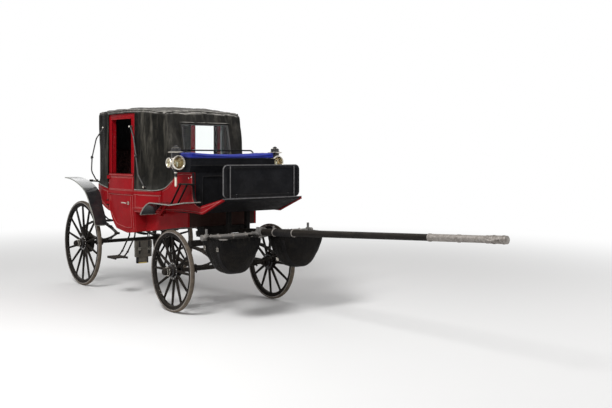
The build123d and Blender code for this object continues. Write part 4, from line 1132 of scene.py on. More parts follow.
def puffed(piece, voxel, cap):
    # blown up as cloth over a closed skin, and held within cap of where it began
    start = piece.modifiers.new("even", "REMESH")
    start.mode = "VOXEL"
    start.voxel_size = voxel
    piece.data = meshOf(piece)
    piece.modifiers.clear()
    rest = [v.co.copy() for v in piece.data.vertices]
    cloth = piece.modifiers.new("puff", "CLOTH").settings
    cloth.use_pressure = True
    cloth.uniform_pressure_force = 4
    cloth.effector_weights.gravity = 0
    for step in range(1, 21):
        bpy.context.scene.frame_set(step)
    blown = meshOf(piece)
    piece.modifiers.clear()
    for v, was in zip(blown.vertices, rest):
        move = v.co - was
        if move.length > cap:
            v.co = was + move.normalized() * cap
    piece.data = blown
    bpy.context.scene.frame_set(1)


def makePad(name, where, cuts, wears, voxel, cap, settle, stands=None):
    bm = bmesh.new()
    padInto(bm, cuts, where)
    piece = makePiece(name, bm, wears, "carriage_body", sharp=180, stands=stands)
    puffed(piece, voxel, cap)
    piece.data.materials.clear()
    piece.data.materials.append(finish[wears])
    shift = at(0, 0, 0)
    for v in piece.data.vertices:
        v.co = settle(v.co - shift) + shift
    piece.data.polygons.foreach_set("use_smooth", [True] * len(piece.data.polygons))
    finer = piece.modifiers.new("finer", "SUBSURF")
    finer.levels = finer.render_levels = 1
    return skinTree(piece)


def skinTree(piece):
    # the piece's skin, with x from the rear axle
    bm = bmesh.new()
    bm.from_mesh(piece.data)
    bmesh.ops.translate(bm, vec=-at(0, 0, 0), verts=bm.verts)
    tree = BVHTree.FromBMesh(bm)
    bm.free()
    return tree


def pipingInto(bm, tree, points, radius):
    snapped = []
    for point in points:
        spot, normal = tree.find_nearest(point)[:2]
        snapped.append(spot + normal * radius * 0.3)
    wireInto(bm, snapped, radius, closed=True)


driverPad = {
    "x0": 2.158, "x1": 2.536, "half": 0.552, "low": 1.6286, "high": 1.682, "dip": 0.022, "rise": 0.012,
    "crown": 0.012, "waist": 0.018, "piping": 0.0042,
}


def driverSag(x, y, z):
    # the loose cover hangs lower in the middle and lifts where it meets the lamps
    share = abs(y) / driverPad["half"]
    top = smoothStep(driverPad["low"] + 0.004, driverPad["high"], z)
    drop = -driverPad["dip"] * (1 - share**2) + driverPad["rise"] * share**6
    rumple = 0.0035 * wander(x * 16, y * 9, z * 5) + 0.0015 * wander(x * 40, y * 31, z * 9)
    return z + top * (drop + rumple)


def makeDriverCushion():
    x0, x1, half, low, high = (driverPad[part] for part in ("x0", "x1", "half", "low", "high"))

    def where(u, v, t):
        across, along = 2 * u - 1, 2 * v - 1
        y = half * along * (1 - driverPad["waist"] * (1 - across**2))
        y *= 1 - 0.03 * abs(across) ** 8 * abs(along) ** 12
        crown = driverPad["crown"] * (1 - across**4) * (1 - along**8)
        return x0 + (x1 - x0) * u, y, low + 0.004 + (high - low - 0.012 + crown) * t

    def settle(co):
        z = max(co.z, low)
        if z > low + 0.001:
            z = max(driverSag(co.x, co.y, z), low + 0.001)
        return Vector((co.x, co.y, z))

    tree = makePad(
        "driver_cushion_cover", where, (12, 34, 3), "seatBlue", 0.007, 0.010, settle,
        stands="driver_cushion",
    )
    bm = bmesh.new()
    ring = alongRun([(x0, -half), (x1, -half), (x1, half), (x0, half)], 30, closed=True)
    for height in (high - 0.004, low + 0.010):
        outer = []
        for x, y in ring:
            z = height if height < 1.65 else driverSag(x, y, height)
            outer.append((x + (0.02 if x > 2.35 else -0.02), 1.03 * y, z))
        pipingInto(bm, tree, outer, driverPad["piping"])
    makePiece("driver_cushion_piping", bm, "pipingBlue", "carriage_body")


benches = {
    "rear_seat_cushion": {"x0": 0.280, "x1": 0.764, "high": 1.238, "stands": "passenger_cushions"},
    "front_seat_cushion": {"x0": 1.548, "x1": 1.977, "high": 1.208, "stands": None},
}
bench = {"low": 1.1206, "sideGap": 0.066, "sideZ": 1.18, "crown": 0.018, "piping": 0.0045}


def benchHalf(x):
    return bodySide(x, bench["sideZ"]) - bench["sideGap"]


def makeBench(name, x0, x1, high, stands):
    low = bench["low"]

    def where(u, v, t):
        x, across, along = x0 + (x1 - x0) * u, 2 * u - 1, 2 * v - 1
        crown = bench["crown"] * (1 - across**4) * (1 - along**6)
        y = benchHalf(x) * along * (1 - 0.012 * (1 - across**2))
        return x, y, low + 0.004 + (high - low - 0.014 + crown) * t

    def settle(co):
        return Vector((co.x, co.y, max(co.z, low)))

    tree = makePad(name, where, (14, 34, 4), "cabinLeather", 0.010, 0.014, settle, stands=stands)
    bm = bmesh.new()
    ring = alongRun([(0, -1), (1, -1), (1, 1), (0, 1)], 24, closed=True)
    for height in (high - 0.012, low + 0.012):
        outer = []
        for u, v in ring:
            x = x0 + (x1 - x0) * u
            outer.append((x + 0.02 * (2 * u - 1), benchHalf(x) * v * 1.03, height))
        pipingInto(bm, tree, outer, bench["piping"])
    makePiece(name + "_piping", bm, "cabinLeather", "carriage_body")


backrests = {
    # rear and front x at the foot and at the head; facing is 1 where the passengers' face looks forward
    "rear_seat_back": {
        "foot": (0.272, 0.332), "head": (0.200, 0.256), "z0": 1.246, "z1": 1.762, "facing": 1, "rows": 4,
        "stands": "passenger_backs",
    },
    "front_seat_back": {
        "foot": (1.962, 2.020), "head": (1.914, 1.968), "z0": 1.220, "z1": 1.590, "facing": -1, "rows": 3,
        "stands": None,
    },
}
backrest = {
    "half": 0.392, "columns": 7, "button": 0.010, "pinch": 0.024, "pinchWide": 0.022,
    "pleat": 0.009, "pleatWide": 0.016,
}


def makeBackrest(name, foot, head, z0, z1, facing, rows, stands):
    # a slanted pad, tufted on a diamond pattern on the face the passengers lean on
    half, columns = backrest["half"], backrest["columns"]
    footX, headX = sum(foot) / 2, sum(head) / 2

    def where(u, v, t):
        rear, front = between(foot, head, t)
        y = half * (2 * v - 1) * (1 - 0.075 * max(0, t - 0.6))
        return rear + (front - rear) * u, y, z0 + (z1 - z0) * t

    spots = []
    for row in range(rows):
        for column in range(columns - row % 2):
            v = (column + 0.5 + 0.5 * (row % 2)) / columns
            spots.append((half * (2 * v - 1), z0 + (z1 - z0) * (row + 0.75) / (rows + 0.4)))

    def settle(co):
        near = sorted(math.hypot(co.y - y, co.z - z) for y, z in spots)
        middle = footX + (headX - footX) * (co.z - z0) / (z1 - z0)
        front = smoothStep(-0.01, 0.02, (co.x - middle) * facing)
        pinch = backrest["pinch"] * math.exp(-((near[0] / backrest["pinchWide"]) ** 2))
        pleat = backrest["pleat"] * math.exp(-(((near[1] - near[0]) / backrest["pleatWide"]) ** 2))
        return co - Vector((facing * front * (pinch + pleat), 0, 0))

    tree = makePad(name, where, (3, 30, 18), "cabinLeather", 0.008, 0.016, settle, stands=stands)
    bm = bmesh.new()
    for y, z in spots:
        spot = tree.ray_cast(Vector((footX + facing * 0.3, y, z)), Vector((-facing, 0, 0)))[0]
        if spot:
            domeInto(bm, spot + Vector((facing * 0.002, 0, 0)), backrest["button"], (facing, 0, 0), 0.45)
    makePiece(name + "_buttons", bm, "cabinLeather", "carriage_body")


makeDriverCushion()
print("driver's cushion made")
for name, plan in benches.items():
    makeBench(name, **plan)
for name, plan in backrests.items():
    makeBackrest(name, **plan)
print("seats made")


# Wheels: channels, flanges, bands and nuts

wheelPlans = {
    "rear": {"x": 0.0, "radius": 0.540, "spokes": 14},
    "front": {"x": 2.320, "radius": 0.435, "spokes": 12},
}
naveMiddle, wheelMiddle, dish = 0.624, 0.650, 0.026


def onWheel(turn):
    return Vector((math.sin(turn), 0, math.cos(turn)))


def makeWheelTrim(axle, hand):
    plan = wheelPlans[axle]
    base, axis = Vector((plan["x"], 0, plan["radius"])), Vector((0, 1 if hand == "left" else -1, 0))
    black, steel, bright = bmesh.new(), bmesh.new(), bmesh.new()
    rim = plan["radius"] - 0.024
    for y in (wheelMiddle - 0.0232, wheelMiddle + 0.0212):
        ringInto(steel, base, axis, rim - 0.004, rim + 0.007, y, y + 0.002)
    for y in (naveMiddle - 0.0235, naveMiddle + 0.0195):
        plate = [(0.050, y), (0.090, y), (0.093, y + 0.002), (0.090, y + 0.004), (0.050, y + 0.004)]
        turnInto(black, plate, base, axis, 56)
    for y in (naveMiddle - 0.052, naveMiddle + 0.044):
        flange = [(0.052, y), (0.0665, y + 0.001), (0.068, y + 0.005), (0.0665, y + 0.009)]
        flange.append((0.052, y + 0.010))
        turnInto(black, flange, base, axis, 48)
    # bright band round the nave's end, cap ring and hexagon nut
    for inner, outer, y, wide in ((0.042, 0.0485, 0.701, 0.008), (0.036, 0.0425, 0.722, 0.007)):
        band = [(inner, y), (outer, y), (outer + 0.0012, y + wide / 2), (outer, y + wide), (inner, y + wide)]
        turnInto(bright, band, base, axis, 48)
    turnInto(black, [(0, 0.730), (0.033, 0.731), (0.033, 0.748), (0.029, 0.752), (0, 0.753)], base, axis, 6)
    turnInto(bright, [(0, 0.750), (0.016, 0.752), (0.014, 0.758), (0, 0.760)], base, axis, 24)
    for i in range(plan["spokes"]):
        turn = math.tau * (i + 0.5) / plan["spokes"]
        arm = onWheel(turn)
        domeInto(bright, base + axis * (naveMiddle + 0.0235) + arm * 0.080, 0.0052, axis, 0.6)
        domeInto(black, base + axis * (naveMiddle - 0.0235) + arm * 0.080, 0.0052, -axis, 0.6)
        if i % 2:
            for lean in (-0.055, 0.055):
                leaning = onWheel(turn + lean)
                domeInto(steel, base + axis * wheelMiddle + leaning * (rim - 0.0445), 0.0062, -leaning, 0.7)
            for face in (-1, 1):
                y = wheelMiddle + face * 0.0205
                domeInto(black, base + axis * y + arm * (rim - 0.020), 0.0058, axis * face, 0.5)
        # ferrule where a spoke enters the felloe
        arm = onWheel(math.tau * i / plan["spokes"])
        spot = base + axis * (wheelMiddle - 0.003) + arm * (rim - 0.052)
        lean = (arm + axis * dish / (rim - 0.1)).normalized()
        turnInto(black, [(0.0115, 0.0), (0.0155, 0.001), (0.0155, 0.008), (0.0115, 0.009)], spot, lean, 12)
    for bm, label, look in (
        (black, "irons", "fenderBlack"), (steel, "channels", "dullSteel"), (bright, "bands", "nickel"),
    ):
        makePiece(f"{axle}_{hand}_wheel_{label}", bm, look, f"{axle}_{hand}_wheel")


for axle in wheelPlans:
    for hand in ("left", "right"):
        makeWheelTrim(axle, hand)
print("wheel fittings made")


# Springs, axles and undercarriage fittings

springPlans = {
    "rear": {"x": 0.0, "y": 0.420, "seat": 0.561, "reach": 0.520, "rise": 0.106},
    "front": {"x": 2.320, "y": 0.400, "seat": 0.456, "reach": 0.430, "rise": 0.092},
}
springs = {
    "stack": 0.024, "leafOverlap": 0.004, "half": 0.0262, "eyeNut": 0.011, "eyeRing": (0.0135, 0.0155),
    "ringY": (0.0215, 0.0275), "boltX": 0.019, "boltY": 0.021, "boltNut": (0.0075, 0.006),
    "clipShares": (0.34, 0.62), "clip": (0.007, 0.0262, 0.013), "clipOver": 0.008, "rivet": 0.005,
}
shackles = {
    "x": 0.026, "y": 0.030, "up": 0.048, "down": 0.030, "rod": 0.006, "nut": 0.009,
    "plateX": 0.036, "plateY": 0.040, "plate": 0.008,
}
bar = {
    "x": 3.000, "z": 0.842, "half": 0.69, "sweep": 0.034, "top": 0.864, "ferrules": (0.655, 0.690),
    "clips": (0.20, 0.36, 0.52), "rivetZ": 0.854, "rivet": 0.006,
    "rivets": ((2.880, 0.30), (2.880, 0.52), (3.290, 0.30), (3.290, 0.52), (3.08, 0.166), (3.08, 0.648)),
}


def clipInto(bm, spot):
    size = Vector(springs["clip"])
    blockInto(bm, spot - size, spot + size, 0.002, 1)
    for face in (-1, 1):
        domeInto(bm, spot + Vector((0, face * size.y, 0)), springs["rivet"], (0, face, 0))


def springFittings(bm, plan):
    x, y, reach, rise = (plan[part] for part in ("x", "y", "reach", "rise"))
    stack, overlap = springs["stack"], springs["leafOverlap"]
    eye = plan["seat"] + stack - overlap + rise
    seats = (plan["seat"] + stack, plan["seat"] + 2 * (stack - overlap + rise))
    for side in (-1, 1):
        for face in (-1, 1):
            nutInto(bm, (x + side * reach, y + face * springs["half"], eye), (0, face, 0), springs["eyeNut"])
            low, high = sorted(face * part for part in springs["ringY"])
            ringInto(bm, (x + side * reach, y, eye), (0, 1, 0), *springs["eyeRing"], low, high, 24)
            for height in seats:
                spot = (x + side * springs["boltX"], y + face * springs["boltY"], height)
                nutInto(bm, spot, (0, 0, 1), *springs["boltNut"])
        # clips that hold the leaves together, part way along each bow
        for share in springs["clipShares"]:
            for up in (-1, 1):
                height = eye + up * (rise * (1 - share**2) + springs["clipOver"])
                clipInto(bm, Vector((x + side * share * reach, y, height)))


def axleFittings(bm, plan, z):
    # shackles under the axle
    x, y, low = plan["x"], plan["y"], z - shackles["down"]
    for dx in (-shackles["x"], shackles["x"]):
        for dy in (-shackles["y"], shackles["y"]):
            wireInto(bm, [(x + dx, y + dy, z + shackles["up"]), (x + dx, y + dy, low)], shackles["rod"])
            nutInto(bm, (x + dx, y + dy, low), (0, 0, -1), shackles["nut"])
    halfX, halfY = shackles["plateX"], shackles["plateY"]
    blockInto(bm, (x - halfX, y - halfY, low), (x + halfX, y + halfY, low + shackles["plate"]), 0.002, 1)


def barFittings(bm):
    # ferrules at the splinter bar's ends, its clips and nuts, and the rivets of the hoops
    base = (bar["x"], 0, bar["z"])
    for y in bar["ferrules"]:
        ringInto(bm, base, (0, 1, 0), 0.026, 0.0305, y - 0.004, y + 0.004, 32)
    for y in bar["clips"]:
        x = bar["x"] + bar["sweep"] * (1 - (y / bar["half"]) ** 2)
        nutInto(bm, (x, y, bar["top"]), (0, 0, 1), 0.010)
        ringInto(bm, (x, 0, bar["z"]), (0, 1, 0), 0.0235, 0.0265, y - 0.014, y + 0.014, 28)
    for x, y in bar["rivets"]:
        domeInto(bm, (x, y, bar["rivetZ"]), bar["rivet"], (0, 0, 1))


def makeUndercarriage():
    fittings = {}
    for axle, plan in springPlans.items():
        fittings[axle] = bmesh.new()
        springFittings(fittings[axle], plan)
        axleFittings(fittings[axle], plan, wheelPlans[axle]["radius"])
    beam = bmesh.new()
    barFittings(beam)
    makePairs("carriage_body", ("rear_spring_fittings", fittings["rear"], "ironBlack"))
    makePairs(
        "fore_carriage", ("front_spring_fittings", fittings["front"], "ironBlack"),
        ("bar_fittings", beam, "dullSteel"),
    )


makeUndercarriage()
print("undercarriage fittings made")


# Wings, dashboard, steps, irons, pole


def arcThrough(start, middle, end, steps=14):
    # places along the circle through three (x, z) places, worked out in complex numbers
    start, middle, end = complex(*start), complex(*middle), complex(*end)
    share = (end - start) / (middle - start)
    centre = start + (middle - start) * (share - abs(share) ** 2) / (2j * share.imag)
    turn = cmath.phase((end - centre) / (start - centre))
    spots = [centre + (start - centre) * cmath.rect(1, turn * i / steps) for i in range(steps + 1)]
    return [(spot.real, spot.imag) for spot in spots]


wings = {
    "bead": 0.0062, "rearEdge": 0.727, "rearRoots": (0.540, 0.600),
    "frontEdge": 0.715, "frontRoots": (0.520, 0.520),
    # the rear wing's clearance over its wheel, at each angle about the hub
    "rear": (
        (0.377, 114.8), (0.272, 98), (0.197, 78.3), (0.153, 64.4), (0.093, 50.8), (0.080, 37.8),
        (0.067, 25.4),
    ),
    "frontArc": ((1.722, 1.004), (1.815, 1.094), (1.950, 1.143)),
    "frontRun": ((2.10, 1.1415), (2.370, 1.138), (2.55, 1.159), (2.684, 1.175)),
}


def overWheel(clear, deg):
    radius = wheelPlans["rear"]["radius"]
    reach = radius + clear
    return reach * math.cos(math.radians(deg)), radius + reach * math.sin(math.radians(deg))


def makeWings():
    bead = bmesh.new()
    arcs = [overWheel(clear, deg) for clear, deg in wings["rear"]]
    rear = arcThrough(*arcs[:3]) + arcThrough(*arcs[2:5])[1:] + arcThrough(*arcs[4:])[1:]
    front = arcThrough(*wings["frontArc"]) + list(wings["frontRun"])
    for route, wing in ((rear, "rear"), (front, "front")):
        outer = wings[wing + "Edge"]
        wireInto(bead, [(x, outer, z) for x, z in route], wings["bead"])
        for (x, z), root in zip((route[0], route[-1]), wings[wing + "Roots"]):
            wireInto(bead, [(x, root, z), (x, outer, z)], wings["bead"])
    makePairs("carriage_body", ("wing_beads", bead, "paleBead"))


def roundedRing(bm, x, half, low, high, corner, size, roundness=2):
    # a wire round a rectangle with rounded corners, across the carriage
    corners = ((half, high), (-half, high), (-half, low), (half, low))
    places = []
    for quarter, (y, z) in enumerate(corners):
        middleY = y - math.copysign(corner, y)
        middleZ = z - corner if z == high else z + corner
        for i in range(7):
            turn = math.radians(90 * quarter + 15 * i)
            places.append((x, middleY + corner * math.cos(turn), middleZ + corner * math.sin(turn)))
    wireInto(bm, places, size, closed=True, roundness=roundness)


def crossInto(bm, x, half, z, size, roundness=2):
    wireInto(bm, [(x, -half, z), (x, half, z)], size, roundness=roundness)


dash = {
    "x": 3.052, "half": 0.481, "low": 1.232, "high": 1.559, "corner": 0.046, "rail": 0.0085,
    "leatherX": (3.0655, 3.0385), "leatherHalf": 0.480, "leatherLow": 1.233, "leatherHigh": 1.558,
    "hemCorner": 0.036, "hems": ((0.018, 0.0022), (0.026, 0.0012)),
    "postX": (3.066, 3.038), "postY": 0.408, "postZ": (1.212, 1.236, 1.552), "post": 0.006,
    "footX": (3.020, 3.071), "footY": 0.026, "footZ": (1.2155, 1.2225), "bolt": 0.0062, "boltX": 3.030,
    "boltY": 0.017, "rivetX": 3.0625, "rivetY": 0.330, "rivetZ": (1.238, 1.262), "rivet": 0.006,
}
toeBoard = {
    "rear": (2.700, 1.0835), "front": (3.052, 1.211), "slats": 7, "slatHalf": 0.455, "slat": 0.006,
    "noseX": 3.074, "noseHalf": 0.503, "noseZ": 1.221, "nose": 0.006,
}
boxWelts = {
    "x": 2.5315, "half": 0.546, "z": (1.622, 1.556), "size": 0.004,
    "studX": 2.531, "studZ": 1.589, "stud": 0.0055, "studs": 12, "studStart": -0.495, "studStep": 0.09,
    "panelX": 2.5015, "panelHalf": 0.386, "panelLow": 1.112, "panelHigh": 1.438, "panelCorner": 0.02,
    "panel": 0.006,
}


def makeDashPosts(rail):
    footX, footZ = dash["footX"], dash["footZ"]
    for y in (-dash["postY"], dash["postY"]):
        for x in dash["postX"]:
            wireInto(rail, [(x, y, z) for z in dash["postZ"]], dash["post"])
        low, high = (footX[0], y - dash["footY"], footZ[0]), (footX[1], y + dash["footY"], footZ[1])
        blockInto(rail, low, high, 0.002, 1)
        for dy in (-dash["boltY"], dash["boltY"]):
            domeInto(rail, (dash["boltX"], y + dy, footZ[1]), dash["bolt"], (0, 0, 1))
    for y in (-dash["rivetY"], dash["rivetY"]):
        for z in dash["rivetZ"]:
            domeInto(rail, (dash["rivetX"], y, z), dash["rivet"], (1, 0, 0))


def makeBoxWelts(hem):
    # welts and studs on the box seat, and a welt on the boot's front panel
    welts = boxWelts
    for z in welts["z"]:
        crossInto(hem, welts["x"], welts["half"], z, welts["size"])
    panel = ("panelX", "panelHalf", "panelLow", "panelHigh", "panelCorner", "panel")
    roundedRing(hem, *[welts[part] for part in panel])
    for i in range(welts["studs"]):
        y = welts["studStart"] + i * welts["studStep"]
        domeInto(hem, (welts["studX"], y, welts["studZ"]), welts["stud"], (1, 0, 0))


def makeDash():
    rail, hem = bmesh.new(), bmesh.new()
    roundedRing(rail, *[dash[part] for part in ("x", "half", "low", "high", "corner", "rail")], 3)
    makeDashPosts(rail)
    # stitched hems on both faces of the leather
    for x in dash["leatherX"]:
        for inset, size in dash["hems"]:
            low, high = dash["leatherLow"] + inset, dash["leatherHigh"] - inset
            roundedRing(hem, x, dash["leatherHalf"] - inset, low, high, dash["hemCorner"], size, 1)
    # nosing and slats of the toe-board
    crossInto(rail, toeBoard["noseX"], toeBoard["noseHalf"], toeBoard["noseZ"], toeBoard["nose"])
    for i in range(toeBoard["slats"]):
        x, z = between(toeBoard["rear"], toeBoard["front"], (i + 0.6) / (toeBoard["slats"] + 0.4))
        crossInto(hem, x, toeBoard["slatHalf"], z, toeBoard["slat"], 1)
    makeBoxWelts(hem)
    makePiece("dash_rails", rail, "railGrey", "carriage_body")
    makePiece("dash_hems", hem, "boxLeather", "carriage_body")


treads = {
    "passenger": {
        "ribs": 10, "x": (0.905, 1.117), "y": (0.584, 0.716), "z": 0.4625, "rib": 0.0032, "edge": 0.0045,
        "around": ((0.898, 0.574), (1.124, 0.574), (1.124, 0.726), (0.898, 0.726)),
        "edgeZ": 0.461, "closed": True,
    },
    "driver": {
        "ribs": 6, "x": (2.408, 2.540), "y": (0.512, 0.618), "z": 1.3625, "rib": 0.003, "edge": 0.004,
        # open on the side of the box
        "around": ((2.398, 0.509), (2.398, 0.622), (2.550, 0.622), (2.550, 0.509)),
        "edgeZ": 1.361, "closed": False,
    },
}
stepIrons = {
    "x": (0.936, 1.076), "nutY": 0.600, "nutZ": 0.451, "nut": 0.009,
    "foot": ((0.009, -0.004), (0.0135, -0.003), (0.0135, 0.012), (0.009, 0.014)),
    "footAxis": (0.3, -0.3, 0.9),
    "collar": ((0.0085, -0.010), (0.013, -0.009), (0.013, 0.009), (0.0085, 0.010)),
    "collarAxis": (0.2, -0.4, 0.9),
    "driverX": (2.194, 2.330), "boss": 0.014,
}
hoodIrons = {
    # x and z of each end, with how far it stands out from the body's side or its own y on the tail
    "ends": ((1.292, 2.000, 0.035), (0.520, 2.010, 0.035), (1.566, 1.300, 0.032)),
    "tailEnd": (0.112, 1.345, 0.524),
    # x and z of each joint, with the end whose y it shares
    "joints": ((1.450, 1.660, 1.292), (0.190, 1.640, 0.520)), "jointOut": 0.029, "sideZ": 1.12,
    "boxKnobs": ((2.470, 1.430), (2.420, 1.418)), "boxKnobY": 0.5085,
}


def makeTreads(ribs):
    for plan in treads.values():
        near, far = plan["y"]
        for (x,) in alongRun([plan["x"][:1], plan["x"][1:]], plan["ribs"] - 1):
            wireInto(ribs, [(x, near, plan["z"]), (x, far, plan["z"])], plan["rib"], roundness=1)
        edge = [(x, y, plan["edgeZ"]) for x, y in plan["around"]]
        wireInto(ribs, edge, plan["edge"], closed=plan["closed"])


def makeStepIrons(ribs):
    for x in stepIrons["x"]:
        turnInto(ribs, stepIrons["foot"], (x + 0.003, 0.598, 0.462), stepIrons["footAxis"], 16)
        turnInto(ribs, stepIrons["collar"], (x + 0.030, 0.566, 0.520), stepIrons["collarAxis"], 16)
        nutInto(ribs, (x, stepIrons["nutY"], stepIrons["nutZ"]), (0, 0, -1), stepIrons["nut"])
    for x in stepIrons["driverX"]:
        for spot in ((x, 0.592, 1.146), (x + 0.212, 0.602, 1.360)):
            domeInto(ribs, spot, stepIrons["boss"], (0, 0, 1), 0.8)


def makeIronKnobs(ribs, bright):
    # knobs on the box side, and the ends and joints of the landau irons
    for x, z in hoodIrons["boxKnobs"]:
        domeInto(bright, (x, hoodIrons["boxKnobY"], z), 0.009, (0, 1, 0))
    level = hoodIrons["sideZ"]
    ends = [(x, z, bodySide(x, level) + out) for x, z, out in hoodIrons["ends"]]
    for x, z, y in (*ends, hoodIrons["tailEnd"]):
        domeInto(bright, (x, y, z), 0.0125, (0, 1, 0), 0.7)
        ringInto(ribs, (x, 0, z), (0, 1, 0), 0.0125, 0.0150, y - 0.016, y - 0.010, 24)
    for x, z, endX in hoodIrons["joints"]:
        y = bodySide(endX, level) + hoodIrons["jointOut"]
        ringInto(ribs, (x, 0, z), (0, 1, 0), 0.008, 0.0195, y + 0.006, y + 0.011, 24)
        domeInto(bright, (x, y + 0.012, z), 0.0085, (0, 1, 0), 0.6)


def makeSteps():
    ribs, bright = bmesh.new(), bmesh.new()
    makeTreads(ribs)
    makeStepIrons(ribs)
    makeIronKnobs(ribs, bright)
    makePairs("carriage_body", ("step_ribs", ribs, "ironBlack"), ("iron_knobs", bright, "nickel"))


pole = {
    "root": (2.665, 0, 0.842), "tip": (6.150, 0, 1.033), "thick": 0.037, "taper": 0.010, "length": 3.34,
    # start, end and height of each steel sleeve and ring, along the pole
    "sleeves": (
        (2.72, 3.335, 0.0018), (2.715, 2.739, 0.005), (3.02, 3.044, 0.005), (3.30, 3.324, 0.005),
        (0.60, 0.614, 0.006), (0.915, 0.929, 0.006),
    ),
    "wraps": 11, "wrapStart": 0.62, "wrapStep": 0.026, "wrapWide": 0.024, "wrap": 0.0032, "wrapWave": 0.0006,
    "headRings": (3.372, 3.462), "headRing": (0.030, 0.0345), "rivets": (2.76, 2.98), "rivet": 0.006,
}


def makePoleTrim():
    steel, wrap = bmesh.new(), bmesh.new()
    root = Vector(pole["root"])
    along = (Vector(pole["tip"]) - root).normalized()

    def girth(reach, extra):
        return pole["thick"] - pole["taper"] * reach / pole["length"] + extra

    def sleeve(bm, start, end, extra, sunk=-0.002, chamfer=0.002):
        profile = [
            (girth(start, sunk), start), (girth(start, extra), start + chamfer),
            (girth(end, extra), end - chamfer), (girth(end, sunk), end),
        ]
        turnInto(bm, profile, root, along, 40)

    for start, end, extra in pole["sleeves"]:
        sleeve(steel, start, end, extra)
    for i in range(pole["wraps"]):
        start = pole["wrapStart"] + i * pole["wrapStep"]
        sleeve(wrap, start, start + pole["wrapWide"], pole["wrap"] + pole["wrapWave"] * math.sin(2.4 * i))
    for reach in pole["headRings"]:
        ringInto(steel, root, along, *pole["headRing"], reach - 0.006, reach + 0.006, 40)
    for reach in pole["rivets"]:
        for side in (-1, 1):
            spot = root + along * reach + Vector((0, side * girth(reach, 0.002), 0))
            domeInto(steel, spot, pole["rivet"], (0, side, 0))
    makePiece("pole_sleeves", steel, "dullSteel", "fore_carriage")
    makePiece("pole_wrap", wrap, "boxLeather", "fore_carriage")


makeWings()
makeDash()
makeSteps()
makePoleTrim()
print("wings, dashboard, steps and pole trimmed")


# Catch bags and tool pouches

bag = {"x": 3.085, "y": 0.407, "halfX": 0.203, "halfY": 0.239, "top": 0.838, "rim": 0.842, "deep": 0.362}


def squared(turn, power):
    # reach of a rounded square, whose corners are tighter for a higher power
    return (abs(math.cos(turn)) ** power + abs(math.sin(turn)) ** power) ** (-1 / power)


def bagPlace(u, v):
    # round the mouth with u, down to the bottom's middle with v
    turn = math.tau * u
    share = smoothStep(0.0, 0.5, v)
    reach = squared(turn, 9) * (1 - share) + squared(turn, 3.2) * share
    fall = math.sin(v * math.pi / 2)
    spread = max(math.cos(v * math.pi / 2), 0) ** 0.62
    reach *= spread * (1 + 0.035 * math.sin(math.pi * min(fall * 1.25, 1)))
    x, y = math.cos(turn) * reach * bag["halfX"], math.sin(turn) * reach * bag["halfY"]
    z = -bag["deep"] * fall**1.1
    # gathers under the hem, then slack creases in the belly
    gather = 0.0045 * math.sin(62 * turn + 3 * math.sin(5 * turn)) * math.exp(-v * 7)
    gather *= smoothStep(0.0, 0.05, v)
    crease = 0.011 * wander(x * 9 + 3, y * 9, z * 5) + 0.004 * wander(x * 26, y * 26, z * 14)
    swell = min(1 + (gather + crease * smoothStep(0.04, 0.3, v)) / 0.22, 1.03)
    return bag["x"] + 0.016 * fall + x * swell, bag["y"] + y * swell, bag["top"] + z + 0.35 * crease * fall


def strapInto(bm, tree, origin, wide, thick):
    # a flat strap laid under what the tree holds, cast outwards from the origin
    rows = []
    for i in range(29):
        turn = math.radians(6 * i - 84)
        cast = Vector((0, math.sin(turn), -math.cos(turn)))
        row = []
        for edge, lifts in ((-wide / 2, (0.001, 0.001 + thick)), (wide / 2, (0.001 + thick, 0.001))):
            spot = tree.ray_cast(origin + Vector((edge, 0, 0)), cast)[0] or origin + cast * 0.2
            row += [spot + cast * lift for lift in lifts]
        rows.append(row + row[:1])
    last = len(rows) - 1
    closeInto(bm, gridInto(bm, last, 4, lambda u, v: rows[min(round(u * last), last)][min(round(v * 4), 4)]))


def buckleInto(bm, centre, across, size):
    centre, across, up = Vector(centre), Vector(across) * size, Vector((0, 0, size * 1.1))
    ring = [centre + across * a + up * b for a, b in ((-1, -1), (1, -1), (1, 1), (-1, 1))]
    wireInto(bm, ring, 0.0022, closed=True)
    wireInto(bm, [centre - up, centre + up], 0.0016)


def makeBags():
    skin, hem, straps, steel = bmesh.new(), bmesh.new(), bmesh.new(), bmesh.new()
    gridInto(skin, 120, 40, bagPlace)
    bothSides(skin)
    piece = makePiece("catch_bag_skins", skin, "bagBlack", "fore_carriage", sharp=180, stands="dung_bags")
    tree = skinTree(piece)
    wall = piece.modifiers.new("wall", "SOLIDIFY")
    wall.thickness = 0.004
    wall.offset = -1
    middle, rim = Vector((bag["x"], bag["y"], bag["rim"])), []
    for i in range(96):
        turn = math.tau * i / 96
        x, y = math.cos(turn) * bag["halfX"], math.sin(turn) * bag["halfY"]
        rim.append(middle + Vector((x, y, 0)) * squared(turn, 9))
    wireInto(hem, rim, 0.0125, closed=True, roundness=3)
    # stitches over the hem
    for spot in rim[::4]:
        outward = (spot - middle).normalized()
        stitch = ((0.011, 0.008), (0.0145, -0.010), (0.008, -0.030))
        wireInto(hem, [spot + outward * out + Vector((0, 0, up)) for out, up in stitch], 0.0028, roundness=1)
    for x in (2.972, 3.196):
        strapInto(straps, tree, Vector((x, bag["y"], 0.800)), 0.030, 0.003)
        spot = tree.ray_cast(Vector((x, bag["y"], 0.740)), Vector((0, 1, 0)))[0]
        if spot:
            buckleInto(steel, spot + Vector((0, 0.008, 0)), (1, 0, 0), 0.016)
    makePairs(
        "fore_carriage", ("catch_bag_hems", hem, "bagBlack"), ("catch_bag_straps", straps, "boxLeather"),
        ("catch_bag_buckles", steel, "nickel"),
    )


